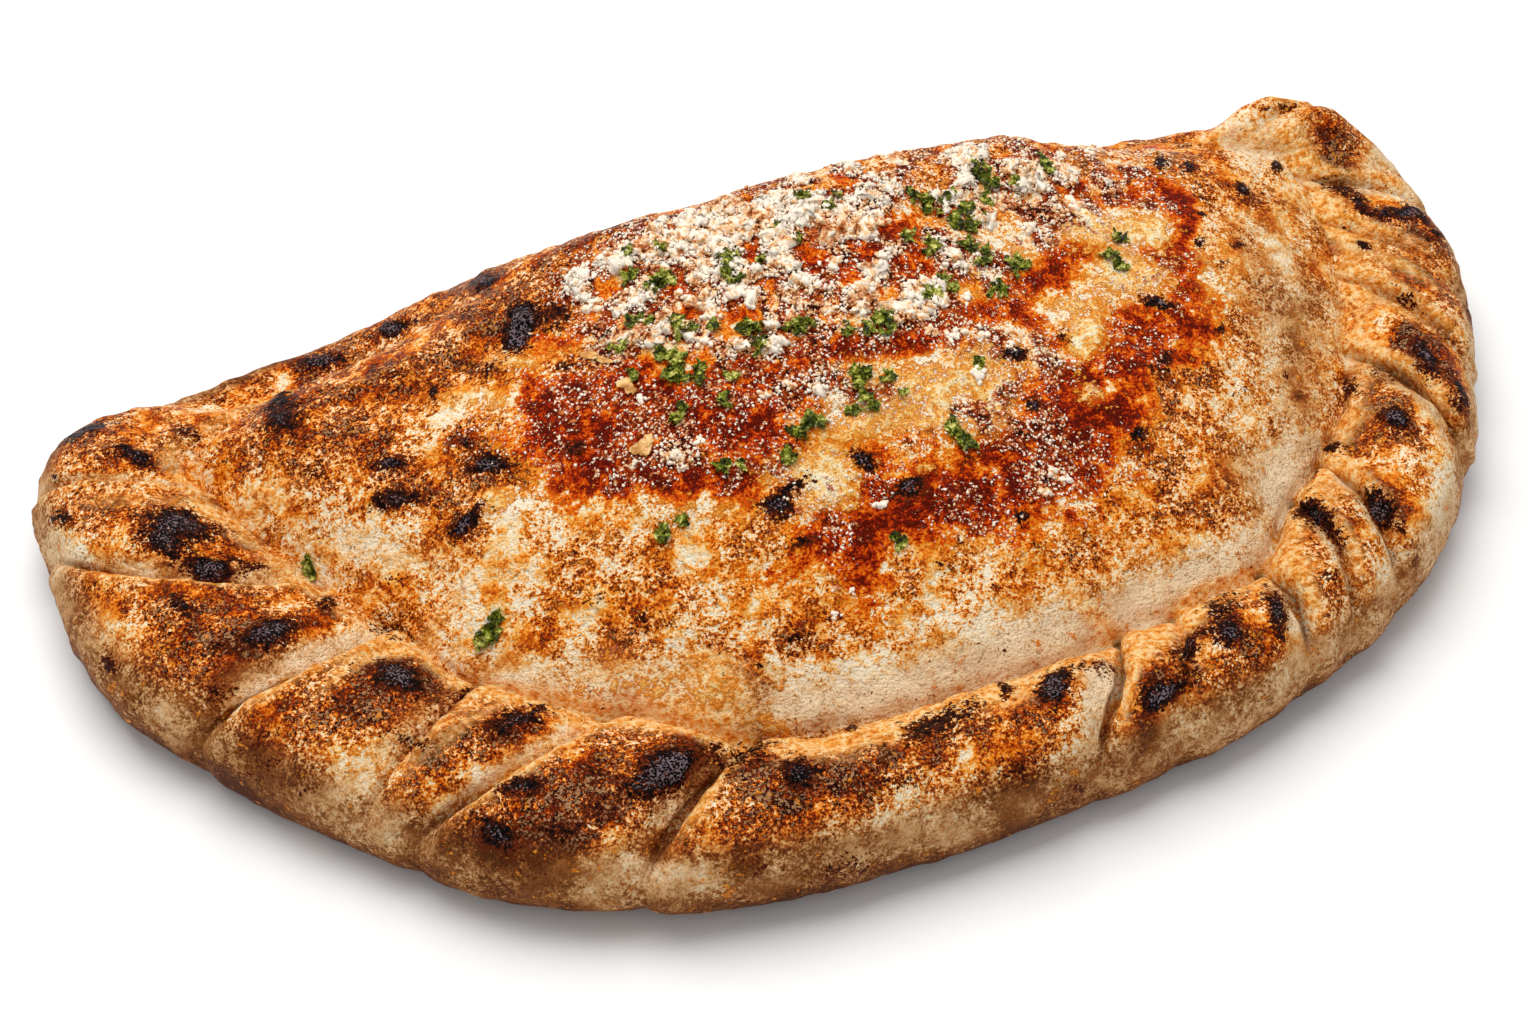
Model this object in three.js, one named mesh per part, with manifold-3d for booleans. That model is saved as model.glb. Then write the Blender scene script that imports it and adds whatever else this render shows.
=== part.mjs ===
// A baked calzone: a half-moon pocket of dough with a twisted, crimped rim, topped with crumbs of grated
// cheese and flakes of parsley. Millimetres, +Z up. The fold runs along X at the back (+Y), the crimped
// rim faces -Y, and the pocket rests on its flat bottom at z = 0, centred on the origin.
import * as THREE from "three";
import { mergeVertices } from "three/addons/utils/BufferGeometryUtils.js";
import Module from "manifold-3d";

const { lerp, smoothstep, euclideanModulo } = THREE.MathUtils;

// ---- the half-moon in plan ----
const LENGTH = 300; // from tip to tip
const FRONT_REACH = 126.5; // from the widest line forward to the rim
const BACK_REACH = 39; // from the widest line back to the fold
const APEX_X = -3; // where the rim reaches furthest forward
const ROUNDNESS = { frontLeft: 2.1, frontRight: 2.24, backLeft: 2.62, backRight: 2.5 }; // powers
const WIDEST_Y = (FRONT_REACH - BACK_REACH) / 2;

// ---- the section across the rim and the belly ----
const SPINE_HALF = 84; // half-length of the ridge that every section runs up to
const SPINE_Y = 37.6;
const BELLY_TOP = 53; // height of that ridge at its middle
const BELLY_ENDS = { left: 31, right: 37 }; // and at its ends
const BELLY_FULLNESS = 0.92; // lower is fuller just above the groove
const FOLD_FULLNESS = 0.8; // the same above the side of the plain fold
const SIDE_HEIGHT = 11; // where the side stands out furthest
const FOLD_SIDE_HEIGHT = 12;
const UNDER_FULLNESS = 0.9;
const CONTACT_INSET = { rim: 8, fold: 13 }; // how far the underside curls in before it touches down
const ROLL_SHARE = 0.48; // share of the rim's width at which its roll is highest

// Along the outline, distances are in mm from the middle of the fold, round the left tip and the front.
const CRIMP_START = [46, 104]; // the plain fold gives way to the crimped rim
const CRIMP_END = [650, 696]; // and the rim to the fold again
const RIM_WIDTHS = [
  [100, 26], [150, 30], [170, 35], [235, 44], [263, 44], [290, 37], [322, 33], [351, 25],
  [430, 25], [466, 21], [488, 27], [541, 28], [600, 26], [640, 24],
];
const RIM_HEIGHTS = [
  [60, 20], [86, 14], [114, 12], [134, 21], [152, 26], [200, 25], [330, 25],
  [400, 26], [460, 25], [611, 25], [628, 35], [636, 35], [654, 25], [680, 24],
];
const GROOVE_HEIGHTS = [ // bottom of the groove between rim and belly
  [60, 26], [110, 22], [170, 19], [270, 17], [500, 17], [560, 21], [610, 26], [650, 29], [700, 29],
];
const SIDE_BULGES = [
  { at: 38, reach: 20, out: 2.5 },
  { at: 138, reach: 14, out: 5 },
  { at: 204, reach: 20, out: 2 },
  { at: 256, reach: 30, out: -2.5 },
  { at: 322, reach: 44, out: 5 },
  { at: 490, reach: 40, out: 2.5 },
  { at: 594, reach: 34, out: 3.5 },
];

// ---- crimps: each fold of the rim laps over the one before it, in a slanting crease ----
const GENTLE_SIDE = 14; // a crease sinks slowly on one side
const STEEP_SIDE = 5; // and climbs sharply up the next fold
const CREASE_CURVE = 1.6;
const SIDE_CREASE = 0.35; // share of its depth that a crease keeps where it runs out over the side
const GROOVE_CREASE = 0.4; // and where it meets the groove round the belly
const GROOVE_FADE = 0.07; // share of the belly's slope over which it dies out
const CREASES = [
  { outer: 146, inner: 152, depth: 1.0 },
  { outer: 156, inner: 168, depth: 2.5 },
  { outer: 174, inner: 236, depth: 3.0 },
  { outer: 232, inner: 263, depth: 5.0 },
  { outer: 270, inner: 289, depth: 2.5 },
  { outer: 281, inner: 322, depth: 5.0 },
  { outer: 323, inner: 351, depth: 5.0 },
  { outer: 374, inner: 389, depth: 1.2 },
  { outer: 411, inner: 430, depth: 4.0 },
  { outer: 429, inner: 443, depth: 2.0 },
  { outer: 461, inner: 467, depth: 4.0 },
  { outer: 474, inner: 488, depth: 3.0 },
  { outer: 488, inner: 502, depth: 3.0 },
  { outer: 526, inner: 541, depth: 3.5 },
  { outer: 549, inner: 570, depth: 2.5 },
  { outer: 572, inner: 592, depth: 2.0 },
  { outer: 598, inner: 614, depth: 2.5 },
  { outer: 628, inner: 634, depth: 1.5 },
];
const BELLY_SLANT = 0.4; // share of its slant across the rim that a column keeps at the ridge

// ---- unevenness of the filled belly ----
const LUMP_START = 0.1; // share of the belly's slope over which the lumps come in
const LUMPS = [
  { x: -60, y: 28, reach: 26, rise: 2.0 },
  { x: -20, y: -4, reach: 22, rise: 1.5 },
  { x: 40, y: 12, reach: 28, rise: -1.5 },
  { x: 60, y: 56, reach: 24, rise: 5.0 },
  { x: 16, y: 54, reach: 28, rise: 2.5 },
  { x: -95, y: 36, reach: 22, rise: 1.5 },
  { x: 85, y: 12, reach: 20, rise: 1.5 },
  { x: -42, y: 70, reach: 20, rise: 3.5 },
];

// ---- mesh of the dough ----
const BANDS = { under: 4, side: 5, fall: 5, belly: 13 }; // rows in each band of the section
const FOLD_STEP = 6; // column spacing along the rim
const BACK_STEP = 11; // and along the plain fold
const CREASE_CROWDING = 0.08; // shift of the columns towards the creases, as a share of a fold
const BELLY_CROWDING = 1.15; // power that brings the belly's rows closer to the groove
const BELLY_END = 0.96; // the last row stops just short of the ridge

// ---- toppings ----
const SEED = 1889;
const CRUMBS = { count: 78, x: 22, y: 37, halfLength: 64, halfWidth: 30, size: [3.8, 6.4], gap: 6.2 };
const CRUMB_STRETCH = [1.1, 0.85, 0.75]; // longer than it is wide, and wider than it is thick
const CRUMB_UNEVENNESS = 0.2;
const CRUMB_SINK = 0.08; // depth of a crumb's middle below the dough's surface, as a share of its size
const FLAKE_SIZE = [5, 8.5];
const FLAKE_GAP = 7.5; // from the middle of one flake to the next
const FLAKE_CORNERS = 6;
const FLAKE_WAIST = 0.62; // reach of every second corner, which is also lifted
const FLAKE_WIDTH = 0.7; // share of its length
const FLAKE_THICKNESS = 1.0;
const FLAKE_LIFT = 0.9;
const FLAKE_SINK = 0.55;
const SPRIGS = [
  { x: -25, y: 46, count: 3, reach: 12 },
  { x: 10, y: 42, count: 4, reach: 16 },
  { x: 62, y: 44, count: 3, reach: 12 },
  { x: 72, y: 24, count: 2, reach: 9 },
  { x: 45, y: 21, count: 4, reach: 12 },
  { x: -28, y: 20, count: 5, reach: 14 },
  { x: 4, y: 2, count: 3, reach: 10 },
  { x: -12, y: -9, count: 3, reach: 10 },
  { x: 18, y: -15, count: 2, reach: 8 },
  { x: -40, y: -15, count: 1, reach: 3 },
  { x: 0, y: -31, count: 1, reach: 3 },
  { x: -76, y: -16, count: 2, reach: 6 },
  { x: -102, y: 17, count: 1, reach: 2 },
];

const DOUGH = new THREE.MeshStandardMaterial({ color: 0xd9a566, roughness: 0.75, metalness: 0 });

/** Value at a distance along the outline, eased between [distance, value] pairs. */
function keyed(keys, along) {
  const next = keys.findIndex(([at]) => at > along);
  if (next === 0) return keys[0][1];
  if (next < 0) return keys.at(-1)[1];
  const [a, from] = keys[next - 1];
  const [b, to] = keys[next];
  return lerp(from, to, smoothstep(along, a, b));
}

/** The plan outline: four superellipse quarters that meet at the widest line and at the apex. */
class HalfMoon extends THREE.Curve {
  getPoint(t, target = new THREE.Vector3()) {
    const angle = Math.PI / 2 + 2 * Math.PI * t;
    const c = Math.cos(angle);
    const s = Math.sin(angle);
    const front = s < 0;
    const left = c < 0;
    const power = 2 / ROUNDNESS[(front ? "front" : "back") + (left ? "Left" : "Right")];
    const middle = front ? APEX_X : 0;
    const reachX = LENGTH / 2 + (left ? middle : -middle);
    const reachY = front ? FRONT_REACH : BACK_REACH;
    const x = middle + reachX * Math.sign(c) * Math.abs(c) ** power;
    const y = WIDEST_Y + reachY * Math.sign(s) * Math.abs(s) ** power;
    return target.set(x, y, 0);
  }
}

const outline = new HalfMoon();
outline.arcLengthDivisions = 3000;
const PERIMETER = outline.getLength();

/** The section at a distance along the outline: its foot, its way inward to the ridge and its length. */
function sectionAt(distance) {
  const u = euclideanModulo(distance / PERIMETER, 1);
  const foot = outline.getPointAt(u);
  const ridge = new THREE.Vector3((foot.x * SPINE_HALF) / (LENGTH / 2), SPINE_Y, 0);
  const inward = ridge.clone().sub(foot);
  const length = inward.length();
  return { foot, inward: inward.normalize(), length, top: ridgeHeight(ridge.x), along: u * PERIMETER };
}

/** Height of the ridge at a place along it. */
function ridgeHeight(x) {
  const end = x < 0 ? BELLY_ENDS.left : BELLY_ENDS.right;
  const share = Math.min(1, Math.abs(x) / SPINE_HALF);
  return lerp(end, BELLY_TOP, Math.cos((share * Math.PI) / 2) ** 1.5);
}

/** 1 where the rim is crimped, 0 on the plain fold. */
function crimped(along) {
  return smoothstep(along, ...CRIMP_START) * (1 - smoothstep(along, ...CRIMP_END));
}

/** Depth of the creases at a distance along the outline and a share of the way across the rim. */
function creaseDepth(along, share) {
  let depth = 0;
  for (const crease of CREASES) {
    const past = along - lerp(crease.outer, crease.inner, share);
    const slope = past < 0 ? 1 + past / GENTLE_SIDE : 1 - past / STEEP_SIDE;
    depth += crease.depth * Math.max(0, slope) ** CREASE_CURVE;
  }
  return depth;
}

/** Distance by which the side stands out of the plain outline. */
function sideBulge(along) {
  return SIDE_BULGES.reduce((sum, b) => sum + b.out * Math.exp(-(((along - b.at) / b.reach) ** 2)), 0);
}

/** Rise of the belly's lumps over a point in plan. */
function lumpRise(x, y) {
  const rises = LUMPS.map((l) => l.rise * Math.exp(-((x - l.x) ** 2 + (y - l.y) ** 2) / l.reach ** 2));
  return rises.reduce((sum, lump) => sum + lump, 0);
}

/** Share of the way across the rim at which a column stands, for its slant. */
function acrossRim(band, t) {
  if (band === "under") return 0;
  if (band === "side") return ROLL_SHARE * (1 - Math.cos((t * Math.PI) / 2));
  if (band === "fall") return lerp(ROLL_SHARE, 1, t);
  return lerp(1, BELLY_SLANT, t);
}

/** The underside, which curls in from the side to where the dough touches down. */
function undersideProfile(t, rim) {
  const turn = (t * Math.PI) / 2;
  const curl = lerp(CONTACT_INSET.fold, CONTACT_INSET.rim, rim);
  return {
    inset: curl * (1 - Math.sin(turn) ** UNDER_FULLNESS),
    z: SIDE_HEIGHT * (1 - Math.cos(turn) ** UNDER_FULLNESS),
    lean: turn - Math.PI / 2,
    creased: SIDE_CREASE * Math.sin(turn) ** 2,
    bulged: Math.sin(turn),
  };
}

/** The crimped section: up the side, over the roll, down to the groove and up the belly. */
function rimProfile(band, t, section) {
  const turn = (t * Math.PI) / 2;
  const width = keyed(RIM_WIDTHS, section.along);
  const height = keyed(RIM_HEIGHTS, section.along);
  const groove = keyed(GROOVE_HEIGHTS, section.along);
  if (band === "side") {
    const inset = ROLL_SHARE * width * (1 - Math.cos(turn));
    const z = lerp(SIDE_HEIGHT, height, Math.sin(turn));
    return { inset, z, lean: turn, creased: lerp(SIDE_CREASE, 1, Math.sin(turn)), bulged: Math.cos(turn) };
  }
  const upright = { lean: Math.PI / 2, bulged: 0 };
  if (band === "fall") {
    const z = lerp(height, groove, 1 - Math.cos(turn));
    return { ...upright, inset: lerp(ROLL_SHARE, 1, t) * width, z, creased: lerp(1, GROOVE_CREASE, t ** 2) };
  }
  const dome = (1 - (1 - t) ** 2) ** BELLY_FULLNESS;
  const creased = GROOVE_CREASE * Math.max(0, 1 - t / GROOVE_FADE) ** 2;
  const z = lerp(groove, section.top, dome);
  return { ...upright, inset: lerp(width, section.length, t), z, creased };
}

/** Height of the plain folded section above a given inset. */
function foldHeight(inset, section) {
  const dome = (1 - (1 - inset / section.length) ** 2) ** FOLD_FULLNESS;
  return lerp(FOLD_SIDE_HEIGHT, section.top, dome);
}

/** One point of the dough's skin. Columns slant across the rim so that they follow the creases. */
function skinPoint(column, band, t) {
  const share = acrossRim(band, t);
  const section = sectionAt(lerp(column.outer, column.inner, share));
  const rim = crimped(section.along);
  const profile = band === "under" ? undersideProfile(t, rim) : rimProfile(band, t, section);
  const z = band === "under" ? profile.z : lerp(foldHeight(profile.inset, section), profile.z, rim);
  const sunk = rim * profile.creased * creaseDepth(section.along, share);
  const inset = profile.inset + sunk * Math.cos(profile.lean) - profile.bulged * sideBulge(section.along);
  const point = section.foot.clone().addScaledVector(section.inward, inset);
  const lumpy = band === "belly" ? Math.min(1, t / LUMP_START) : 0;
  point.z = z - sunk * Math.sin(profile.lean) + lumpy * lumpRise(point.x, point.y);
  return point;
}

/** Columns of the mesh: one on every crease, closer together beside a crease than between two. */
function layColumns() {
  const [first] = CREASES;
  const closing = { outer: first.outer + PERIMETER, inner: first.inner + PERIMETER };
  const ends = [...CREASES, closing];
  const columns = [];
  for (let i = 0; i < CREASES.length; i++) {
    const [from, to] = [ends[i], ends[i + 1]];
    const plain = to === closing;
    const steps = Math.max(3, Math.round((to.outer - from.outer) / (plain ? BACK_STEP : FOLD_STEP)));
    for (let j = 0; j < steps; j++) {
      const crowding = plain ? 0 : CREASE_CROWDING * Math.sin((2 * Math.PI * j) / steps);
      const share = j / steps - crowding;
      columns.push({ outer: lerp(from.outer, to.outer, share), inner: lerp(from.inner, to.inner, share) });
    }
  }
  return columns;
}

/** Rows of skin points, from the line where the dough touches down up to just short of the ridge. */
function layRows(columns) {
  const rows = [columns.map((column) => skinPoint(column, "under", 0))];
  for (const [band, count] of Object.entries(BANDS)) {
    for (let j = 1; j <= count; j++) {
      const t = band === "belly" ? BELLY_END * (j / count) ** BELLY_CROWDING : j / count;
      rows.push(columns.map((column) => skinPoint(column, band, t)));
    }
  }
  return rows;
}

/** Triangles that close a narrow loop: its front and back sides zipped together from left to right. */
function zipped(loop) {
  const n = loop.length;
  const corners = [];
  let front = loop.reduce((best, p, i) => (p.x < loop[best].x ? i : best), 0);
  let back = (front + n - 1) % n;
  for (let left = n - 2; left > 0; left--) {
    const nextFront = (front + 1) % n;
    const nextBack = (back + n - 1) % n;
    if (loop[nextFront].x < loop[nextBack].x) {
      corners.push(front, nextFront, back);
      front = nextFront;
    } else {
      corners.push(front, nextBack, back);
      back = nextBack;
    }
  }
  return corners;
}

/** Closed skin of the dough: rows lofted round the outline, closed along the ridge and underneath. */
function doughGeometry() {
  const rows = layRows(layColumns());
  const n = rows[0].length;
  const faces = [];
  for (let r = 0; r + 1 < rows.length; r++) {
    for (let c = 0; c < n; c++) {
      const a = r * n + c;
      const b = r * n + ((c + 1) % n);
      faces.push(a, b, b + n, a, b + n, a + n);
    }
  }
  const lastRow = (rows.length - 1) * n;
  faces.push(...zipped(rows.at(-1)).map((corner) => lastRow + corner));
  const contact = rows[0].map((p) => new THREE.Vector2(p.x, p.y));
  for (const [a, b, c] of THREE.ShapeUtils.triangulateShape(contact, [])) faces.push(a, c, b);

  const geometry = new THREE.BufferGeometry().setFromPoints(rows.flat());
  geometry.setIndex(faces);
  geometry.computeBoundingBox();
  const centre = geometry.boundingBox.getCenter(new THREE.Vector3());
  return geometry.translate(-centre.x, -centre.y, 0);
}

/** Seeded random numbers from 0 to 1, the same in every run. */
function randomFrom(seed) {
  let state = seed;
  return () => {
    state = (state * 16807) % 2147483647;
    return state / 2147483647;
  };
}

/** Spots scattered evenly over an ellipse in plan and laid on the dough, clear of those taken already. */
function scatter(rule, dough, random, taken) {
  const caster = new THREE.Raycaster();
  const down = new THREE.Vector3(0, 0, -1);
  const spots = [];
  for (let tries = 0; spots.length < rule.count && tries < 60 * rule.count; tries++) {
    const angle = 2 * Math.PI * random();
    const reach = Math.sqrt(random());
    const x = rule.x + rule.halfLength * reach * Math.cos(angle);
    const y = rule.y + rule.halfWidth * reach * Math.sin(angle);
    const clear = [...taken, ...spots].every((s) => Math.hypot(s.point.x - x, s.point.y - y) > rule.gap);
    if (!clear) continue;
    caster.set(new THREE.Vector3(x, y, 2 * BELLY_TOP), down);
    const [hit] = caster.intersectObject(dough);
    const size = lerp(rule.size[1], rule.size[0], spots.length / rule.count);
    spots.push({ point: hit.point, normal: hit.face.normal.clone(), size, spin: 2 * Math.PI * random() });
  }
  return spots;
}

/** Spots for the parsley: a few flakes together wherever a pinch of it fell. */
function scatterSprigs(dough, random) {
  const spots = [];
  for (const { x, y, count, reach } of SPRIGS) {
    const rule = { count, x, y, halfLength: reach, halfWidth: reach, size: FLAKE_SIZE, gap: FLAKE_GAP };
    spots.push(...scatter(rule, dough, random, spots));
  }
  return spots;
}

/** Lays a topping on its spot, square to the dough, turned by the spot's spin and sunk in a little. */
function settle(geometry, spot, sink) {
  const up = new THREE.Vector3(0, 0, 1);
  const tilt = new THREE.Quaternion().setFromUnitVectors(up, spot.normal);
  const turn = tilt.multiply(new THREE.Quaternion().setFromAxisAngle(up, spot.spin));
  const place = spot.point.clone().addScaledVector(spot.normal, -sink);
  return geometry.applyMatrix4(new THREE.Matrix4().compose(place, turn, new THREE.Vector3(1, 1, 1)));
}

/** A crumb of grated cheese: an uneven lump, half sunk in what it lies on. */
function crumbGeometry(spot, random) {
  const source = new THREE.IcosahedronGeometry(spot.size / 2, 0);
  source.deleteAttribute("normal");
  source.deleteAttribute("uv");
  const crumb = mergeVertices(source);
  const position = crumb.getAttribute("position");
  const corner = new THREE.Vector3();
  for (let i = 0; i < position.count; i++) {
    const swell = 1 + CRUMB_UNEVENNESS * (2 * random() - 1);
    corner.fromBufferAttribute(position, i).multiply(new THREE.Vector3(...CRUMB_STRETCH));
    position.setXYZ(i, ...corner.multiplyScalar(swell));
  }
  return settle(crumb, spot, CRUMB_SINK * spot.size);
}

/** A flake of parsley: a thin wavy leaf, both faces split alike from its middle to its corners. */
function flakeGeometry(spot, random) {
  const points = [];
  const droop = 0.5 * random();
  for (const side of [0, FLAKE_THICKNESS]) {
    for (let i = 0; i < FLAKE_CORNERS; i++) {
      const angle = (2 * Math.PI * i) / FLAKE_CORNERS;
      const odd = i % 2;
      const reach = (spot.size / 2) * (odd ? FLAKE_WAIST : 1);
      const y = FLAKE_WIDTH * reach * Math.sin(angle);
      points.push(new THREE.Vector3(reach * Math.cos(angle), y, side + odd * FLAKE_LIFT));
    }
    points.push(new THREE.Vector3(0, 0, side + droop));
  }
  const faces = [];
  const lowerMiddle = FLAKE_CORNERS;
  const upper = FLAKE_CORNERS + 1;
  const upperMiddle = upper + FLAKE_CORNERS;
  for (let i = 0; i < FLAKE_CORNERS; i++) {
    const next = (i + 1) % FLAKE_CORNERS;
    faces.push(lowerMiddle, next, i);
    faces.push(upperMiddle, upper + i, upper + next);
    faces.push(i, next, upper + next, i, upper + next, upper + i);
  }
  const flake = new THREE.BufferGeometry().setFromPoints(points);
  flake.setIndex(faces);
  return settle(flake, spot, FLAKE_SINK);
}

const wasm = await Module();
wasm.setup();

/** A closed geometry as a manifold-3d solid. */
function solidOf(geometry) {
  const vertProperties = new Float32Array(geometry.getAttribute("position").array);
  const triVerts = new Uint32Array(geometry.index.array);
  return new wasm.Manifold(new wasm.Mesh({ numProp: 3, vertProperties, triVerts }));
}

/** A manifold-3d solid as a geometry. */
function geometryOf(solid) {
  const mesh = solid.getMesh();
  const geometry = new THREE.BufferGeometry();
  geometry.setAttribute("position", new THREE.BufferAttribute(new Float32Array(mesh.vertProperties), 3));
  geometry.setIndex(new THREE.BufferAttribute(new Uint32Array(mesh.triVerts), 1));
  geometry.computeVertexNormals();
  return geometry;
}

/** The dough with every crumb and flake fused to it. */
function calzone() {
  const doughShape = doughGeometry();
  const dough = new THREE.Mesh(doughShape, DOUGH);
  const random = randomFrom(SEED);
  const flakeSpots = scatterSprigs(dough, random);
  const crumbSpots = scatter(CRUMBS, dough, random, flakeSpots);
  const crumbs = crumbSpots.map((spot) => crumbGeometry(spot, random));
  const flakes = flakeSpots.map((spot) => flakeGeometry(spot, random));
  const fused = wasm.Manifold.union([doughShape, ...crumbs, ...flakes].map(solidOf));
  const mesh = new THREE.Mesh(geometryOf(fused), DOUGH);
  mesh.name = "calzone";
  return mesh;
}

const part = new THREE.Group();
part.add(calzone());
export default part;
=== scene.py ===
"""A baked calzone on a pale table: its crust with browned folds, charred blisters, tomato sauce, grated
cheese and chopped parsley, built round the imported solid. Metres, +Z up."""

import math

import bmesh
import bpy
import numpy as np
from mathutils import Matrix, Vector
from mathutils.bvhtree import BVHTree


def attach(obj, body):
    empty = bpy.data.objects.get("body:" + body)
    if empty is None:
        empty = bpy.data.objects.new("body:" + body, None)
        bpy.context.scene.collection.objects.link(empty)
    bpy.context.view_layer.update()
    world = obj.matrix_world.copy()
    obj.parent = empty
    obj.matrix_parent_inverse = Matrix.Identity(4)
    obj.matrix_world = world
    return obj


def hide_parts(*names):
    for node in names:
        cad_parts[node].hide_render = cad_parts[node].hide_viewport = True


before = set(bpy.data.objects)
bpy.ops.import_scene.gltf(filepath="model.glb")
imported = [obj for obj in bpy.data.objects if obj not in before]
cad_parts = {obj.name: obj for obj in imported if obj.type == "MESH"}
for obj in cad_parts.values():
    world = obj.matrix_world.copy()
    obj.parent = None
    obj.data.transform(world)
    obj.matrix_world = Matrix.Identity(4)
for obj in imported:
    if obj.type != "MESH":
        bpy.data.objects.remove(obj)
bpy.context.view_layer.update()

MM = 0.001

# ---- the camera ----
IMAGE_WIDTH, IMAGE_HEIGHT = 1536, 1024
SENSOR_WIDTH = 36.0
CAMERA_LENS = 73.392
CAMERA_DISTANCE = 642.0  # mm, from the point it looks at
CAMERA_AZIMUTH, CAMERA_ELEVATION = -19.598, 47.788  # degrees
LOOKS_AT = (-9.014, 13.255, 0.0)  # mm

# ---- the dough, in mm: the same half-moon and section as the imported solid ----
LENGTH = 300.0  # from tip to tip
FRONT_REACH, BACK_REACH = 126.5, 39.0  # from the widest line to the front and to the back
APEX_X = -3.0  # where the front comes furthest forward
# How square each quarter of the outline is: 2 is an ellipse, and more is squarer.
ROUNDNESS = {("front", "left"): 2.1, ("front", "right"): 2.24, ("back", "left"): 2.62, ("back", "right"): 2.5}
WIDEST_Y = (FRONT_REACH - BACK_REACH) / 2
SPINE_HALF, SPINE_Y = 84.0, 37.6  # the belly's ridge: half its length, and where it lies
BELLY_TOP = 53.0  # height of the middle of the ridge
BELLY_LEFT_END, BELLY_RIGHT_END = 31.0, 37.0  # heights of its ends
BELLY_FULLNESS, FOLD_FULLNESS = 0.92, 0.8  # the lower, the fuller the curve up to the ridge
RIDGE_FALL = 1.5  # the higher, the sooner the ridge falls towards its ends
SIDE_HEIGHT, FOLD_SIDE_HEIGHT = 11.0, 12.0  # of the outline, at the rim and at the fold
UNDER_FULLNESS = 0.9  # below 1, the dough curls under more squarely than a circle
CONTACT_INSET_RIM, CONTACT_INSET_FOLD = 8.0, 13.0  # how far inside the outline it meets the table
ROLL_SHARE = 0.48  # share of the rim's width at which its roll is highest
# Where along the outline the crimping comes and goes.
CRIMP_START, CRIMP_END = (46.0, 104.0), (650.0, 696.0)
# Each a distance along the outline, from the middle of the fold, and the size there.
RIM_WIDTHS = [
    (100, 26), (150, 30), (170, 35), (235, 44), (263, 44), (290, 37), (322, 33), (351, 25), (430, 25),
    (466, 21), (488, 27), (541, 28), (600, 26), (640, 24),
]
RIM_HEIGHTS = [
    (60, 20), (86, 14), (114, 12), (134, 21), (152, 26), (200, 25), (330, 25), (400, 26), (460, 25),
    (611, 25), (628, 35), (636, 35), (654, 25), (680, 24),
]
GROOVE_HEIGHTS = [
    (60, 26), (110, 22), (170, 19), (270, 17), (500, 17), (560, 21), (610, 26), (650, 29), (700, 29),
]
SIDE_BULGES = [  # distance along the outline, reach, how far out
    (38, 20, 2.5), (138, 14, 5), (204, 20, 2), (256, 30, -2.5), (322, 44, 5), (490, 40, 2.5),
    (594, 34, 3.5),
]
# How far a crease's two sides reach, and how they curve.
GENTLE_SIDE, STEEP_SIDE, CREASE_CURVE = 14.0, 5.0, 1.6
# Share of a crease's depth at the outline and at the groove, and share of the belly in which it ends.
SIDE_CREASE, GROOVE_CREASE, GROOVE_FADE = 0.35, 0.4, 0.07
CREASES = [  # where each crease crosses the outer edge and the groove, and its depth
    (146, 152, 1.0), (156, 168, 2.5), (174, 236, 3.0), (232, 263, 5.0), (270, 289, 2.5), (281, 322, 5.0),
    (323, 351, 5.0), (374, 389, 1.2), (411, 430, 4.0), (429, 443, 2.0), (461, 467, 4.0), (474, 488, 3.0),
    (488, 502, 3.0), (526, 541, 3.5), (549, 570, 2.5), (572, 592, 2.0), (598, 614, 2.5), (628, 634, 1.5),
]
GROOVE_CLEAR = (236, 300, 490, 530)  # where along the outline the groove shows as a line, coming and going
BELLY_SLANT = 0.4  # share of their slant over the rim that the columns still have at the ridge
LUMP_START = 0.1  # share of the way to the ridge over which the lumps begin
LUMPS = [  # of the filling under the belly: x, y, reach, rise
    (-60, 28, 26, 2.0), (-20, -4, 22, 1.5), (40, 12, 28, -1.5), (60, 56, 24, 5.0), (16, 54, 28, 2.5),
    (-95, 36, 22, 1.5), (85, 12, 20, 1.5), (-42, 70, 20, 3.5),
]

# ---- the crust's mesh ----
COLUMN_STEP = 0.97  # mm along the rim
FEWEST_COLUMNS = 4  # between two creases
CREASE_CROWDING = 0.08  # how much closer together the columns lie beside a crease
ROWS = {"under": 6, "side": 22, "fall": 22, "belly": 68}  # rows of the mesh in each band, from the table up
BELLY_END = 0.985  # share of the way to the ridge at which the last row lies
BELLY_CROWDING = 1.15  # above 1, rows lie closer together near the groove
OUTLINE_POINTS = 12001  # by which distances along the outline are measured


# ---------------------------------------------------------------- small helpers
def smoothstep(value, low, high):
    """0 up to low, 1 from high on, and an eased rise between them."""
    share = np.clip((value - low) / (high - low), 0, 1)
    return share * share * (3 - 2 * share)


def lerp(a, b, share):
    """What lies the given share of the way from a to b."""
    return a + (b - a) * share


def keyed(keys, along):
    """Value at each distance along the outline, eased between pairs of distance and value."""
    at = np.array([k[0] for k in keys], float)
    values = np.array([k[1] for k in keys], float)
    after = np.clip(np.searchsorted(at, along, side="right"), 1, len(keys) - 1)
    return lerp(values[after - 1], values[after], smoothstep(along, at[after - 1], at[after]))


def mixed_hash(ix, iy, iz, seed):
    """A well-mixed number from 0 to 1 for each cell of a lattice."""
    mixed = ix * 73856093 ^ iy * 19349663 ^ iz * 83492791 ^ seed * 2654435761
    mixed &= 0xFFFFFFFF
    for shift, factor in ((16, 0x45D9F3B), (16, 0x45D9F3B), (16, 1)):
        mixed = ((mixed >> shift) ^ mixed) * factor & 0xFFFFFFFF
    return mixed / 0xFFFFFFFF


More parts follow.
